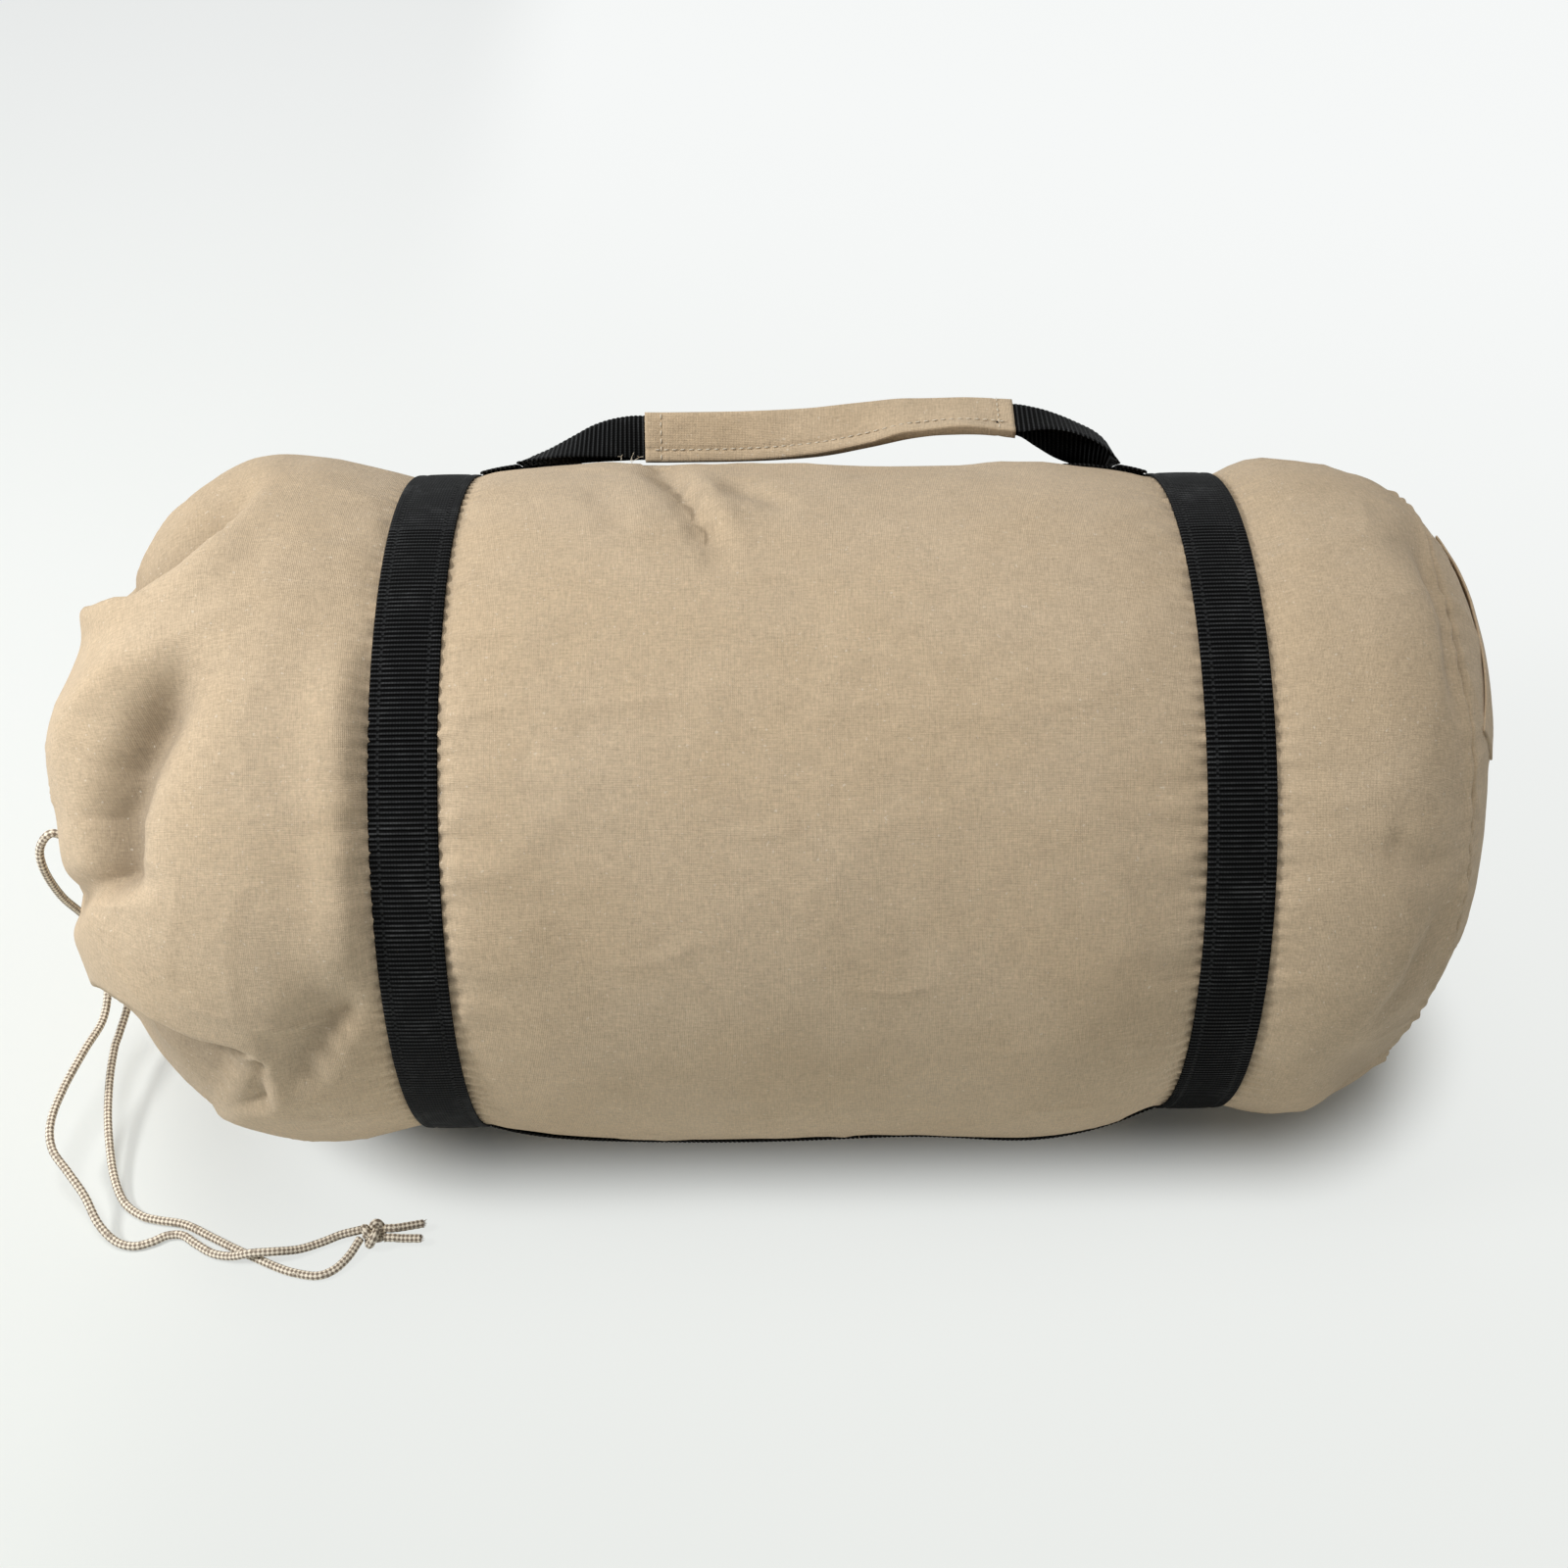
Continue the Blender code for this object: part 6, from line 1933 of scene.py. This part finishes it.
@dataclass(frozen=True)
class GuyRopes:
    """Guy ropes wound into long hanks beside the roll, each with a runner on its tail."""

    roll: CanopyRoll
    length: float = 0.14
    width: float = 0.026
    turn_gap: float = 0.0007
    tail: float = 0.035
    spacing: float = 0.001
    main: tuple = (0.005, 7, -0.077, 2.07, "rope_braid")
    corner: tuple = (0.004, 5, 0.103, 1.50, "rope_braid_thin")

    def hanks(self) -> list[Hank]:
        """Every rope with its place."""
        made = []
        for kind, facts, angles in (
            ("main", self.main, (54, -54)),
            ("corner", self.corner, (36, -36, 72, -72)),
        ):
            diameter, turns, x, length, finish = facts
            for number, angle in enumerate(angles, 1):
                node, runner = f"{kind}_guy_rope_{number}", f"{kind}_rope_runner_{number}"
                turned = math.radians(angle)
                made.append(Hank(node, runner, diameter, turns, turned, x, length, finish))
        return made

    def route(self, hank: Hank) -> Array:
        """Middle line of one rope, turn beside turn, ending in a straight tail."""
        pitch = hank.diameter + self.turn_gap
        radius = (self.width - hank.diameter) / 2
        half = self.length / 2 - self.width / 2
        bend = np.linspace(0, 3, 16)[:-1]
        side = np.linspace(3, 4, 7)[:-1]
        lap = np.concatenate((bend, side, bend + 4, side + 4))
        step = np.concatenate([lap + 8 * k for k in range(hank.turns)])
        phase = step % 8
        far = phase >= 4
        local = phase % 4
        swing = -math.pi / 2 + math.pi * np.minimum(local, 3) / 3 + math.pi * far
        middle = np.where(far, -half, half)
        run = np.maximum(local - 3, 0)
        along = middle + radius * np.cos(swing) + run * np.where(far, 2 * half, -2 * half)
        rise = -radius * np.sin(swing)
        advance = pitch * step / 8
        along = np.concatenate((along, [half, half + self.width / 2 + self.tail]))
        rise = np.concatenate((rise, [rise[-1]] * 2))
        advance = np.concatenate((advance, [advance[-1] + pitch / 8] * 2))
        across = advance - pitch * hank.turns / 2
        lift = self.width / 2 + SEAT
        points = self.roll.beside(hank.angle, hank.x, along, across, lift + rise)
        length = lengths_along(points)[-1]
        return points_along(points, np.linspace(0, length, round(length / self.spacing)))

    def build(self) -> None:
        """Make every rope."""
        for hank in self.hanks():
            path = self.route(hank)
            name = hank.node.replace("guy_rope", "rope_hank")
            piece = Braid(hank.diameter, hank.finish, "guy_rope").tube(name, hank.node, path, 12)
            Braid.thinned(path, 3)


@dataclass(frozen=True)
class Hardware:
    """Rings, pegs and runners, whose solids stay and get their metal."""

    rings: MetalFinish = MetalFinish("plated_ring_steel", (0.62, 0.63, 0.65), 0.30)
    pegs: MetalFinish = MetalFinish("bare_peg_steel", (0.50, 0.51, 0.53), 0.42)
    runners: MetalFinish = MetalFinish("anodised_runner", (0.10, 0.10, 0.11), 0.38)

    def build(self) -> None:
        """Dress the solids."""
        for part, finish in (
            ("corner_ring", self.rings),
            ("tent_peg", self.pegs),
            ("rope_runner", self.runners),
        ):
            metal = finish.build()
            found = [node for name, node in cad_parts.items() if part in name]
            for node in found:
                for slot in node.material_slots:
                    slot.material = metal
            LOG.info("%s: %d dressed", part, len(found))


@dataclass(frozen=True)
class LooseThreads:
    """Fine thread ends left by the sewing."""

    line: HandleLine

    def tuft(self, mesh: Mesh, root: Array, count: int, reach: float) -> None:
        """A few thread ends that stand out from one place."""
        rng = np.random.default_rng(int(abs(root[0]) * 10000) + 3)
        for _ in range(count):
            swing, spread = rng.uniform(0, 2 * math.pi), rng.uniform(0.3, 1.0)
            heading = Vector((math.cos(swing) * spread, -0.7, 0.25 + math.sin(swing) * spread))
            heading.normalize()
            length = rng.uniform(0.5, 1.0) * reach
            Maker.fibre(mesh, Vector(root), heading, length, (0.00018, 0.00008))

    def build(self) -> None:
        """Make the tufts by the handle and along the underside strap."""
        pale, dark = bmesh.new(), bmesh.new()
        shape = self.line.shape
        for x, side in ((-0.056, 0.015), (-0.06, 0.0165), (-0.053, 0.014)):
            root = self.line.point(np.array([x]), np.array([side]), np.array([0.0012]))[0]
            self.tuft(pale, root, 3, 0.0045)
        for x in (0.01, 0.032, 0.079, -0.04):
            root = shape.polar(x, shape.middle + 0.001, math.radians(128))
            self.tuft(dark, root, 4, 0.004)
        Maker.finish(pale, "handle_thread_ends", "cream_thread")
        Maker.finish(dark, "strap_thread_ends", "fray_thread")


def main() -> None:
    """Build every piece of the scene."""
    logging.basicConfig(level=logging.INFO, format="%(message)s")
    camera, shape, roll = PhotographCamera(), BagShape(), CanopyRoll()
    cord, line = Drawcord(shape), HandleLine(shape)
    for part in (
        camera,
        Studio(),
        ClothFinish(),
        WebbingFinish(),
        WebbingFinish("sewn_hoop_webbing", stitch_lines=(0.0031, 0.0206)),
        WebbingFinish("black_ribbed_webbing_length", Lengthwise.SECOND),
        ThreadFinish("cream_thread", (0.80, 0.72, 0.58)),
        ThreadFinish("fray_thread", (0.60, 0.50, 0.38)),
        ClothFinish("canopy_canvas", (0.565, 0.44, 0.296), (0.535, 0.41, 0.268)),
        BraidFinish("beige_braid", (0.93, 0.84, 0.69), (0.26, 0.205, 0.155), 0.0034),
        BraidFinish("rope_braid", (0.44, 0.36, 0.24), (0.12, 0.09, 0.06), 0.005),
        BraidFinish("rope_braid_thin", (0.44, 0.36, 0.24), (0.12, 0.09, 0.06), 0.004),
        cord,
        MouthHem(shape, cord),
        BagCloth(shape, camera),
        Hoops(shape),
        Strap(shape),
        Handle(line),
        GrabLoop(shape),
        LooseThreads(line),
    ):
        part.build()
    roll.declare(roll.build(), CornerLoops(roll).build())
    for part in (PegPouch(roll), GuyRopes(roll), Hardware()):
        part.build()


if __name__ == "__main__":
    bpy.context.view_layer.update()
    main()
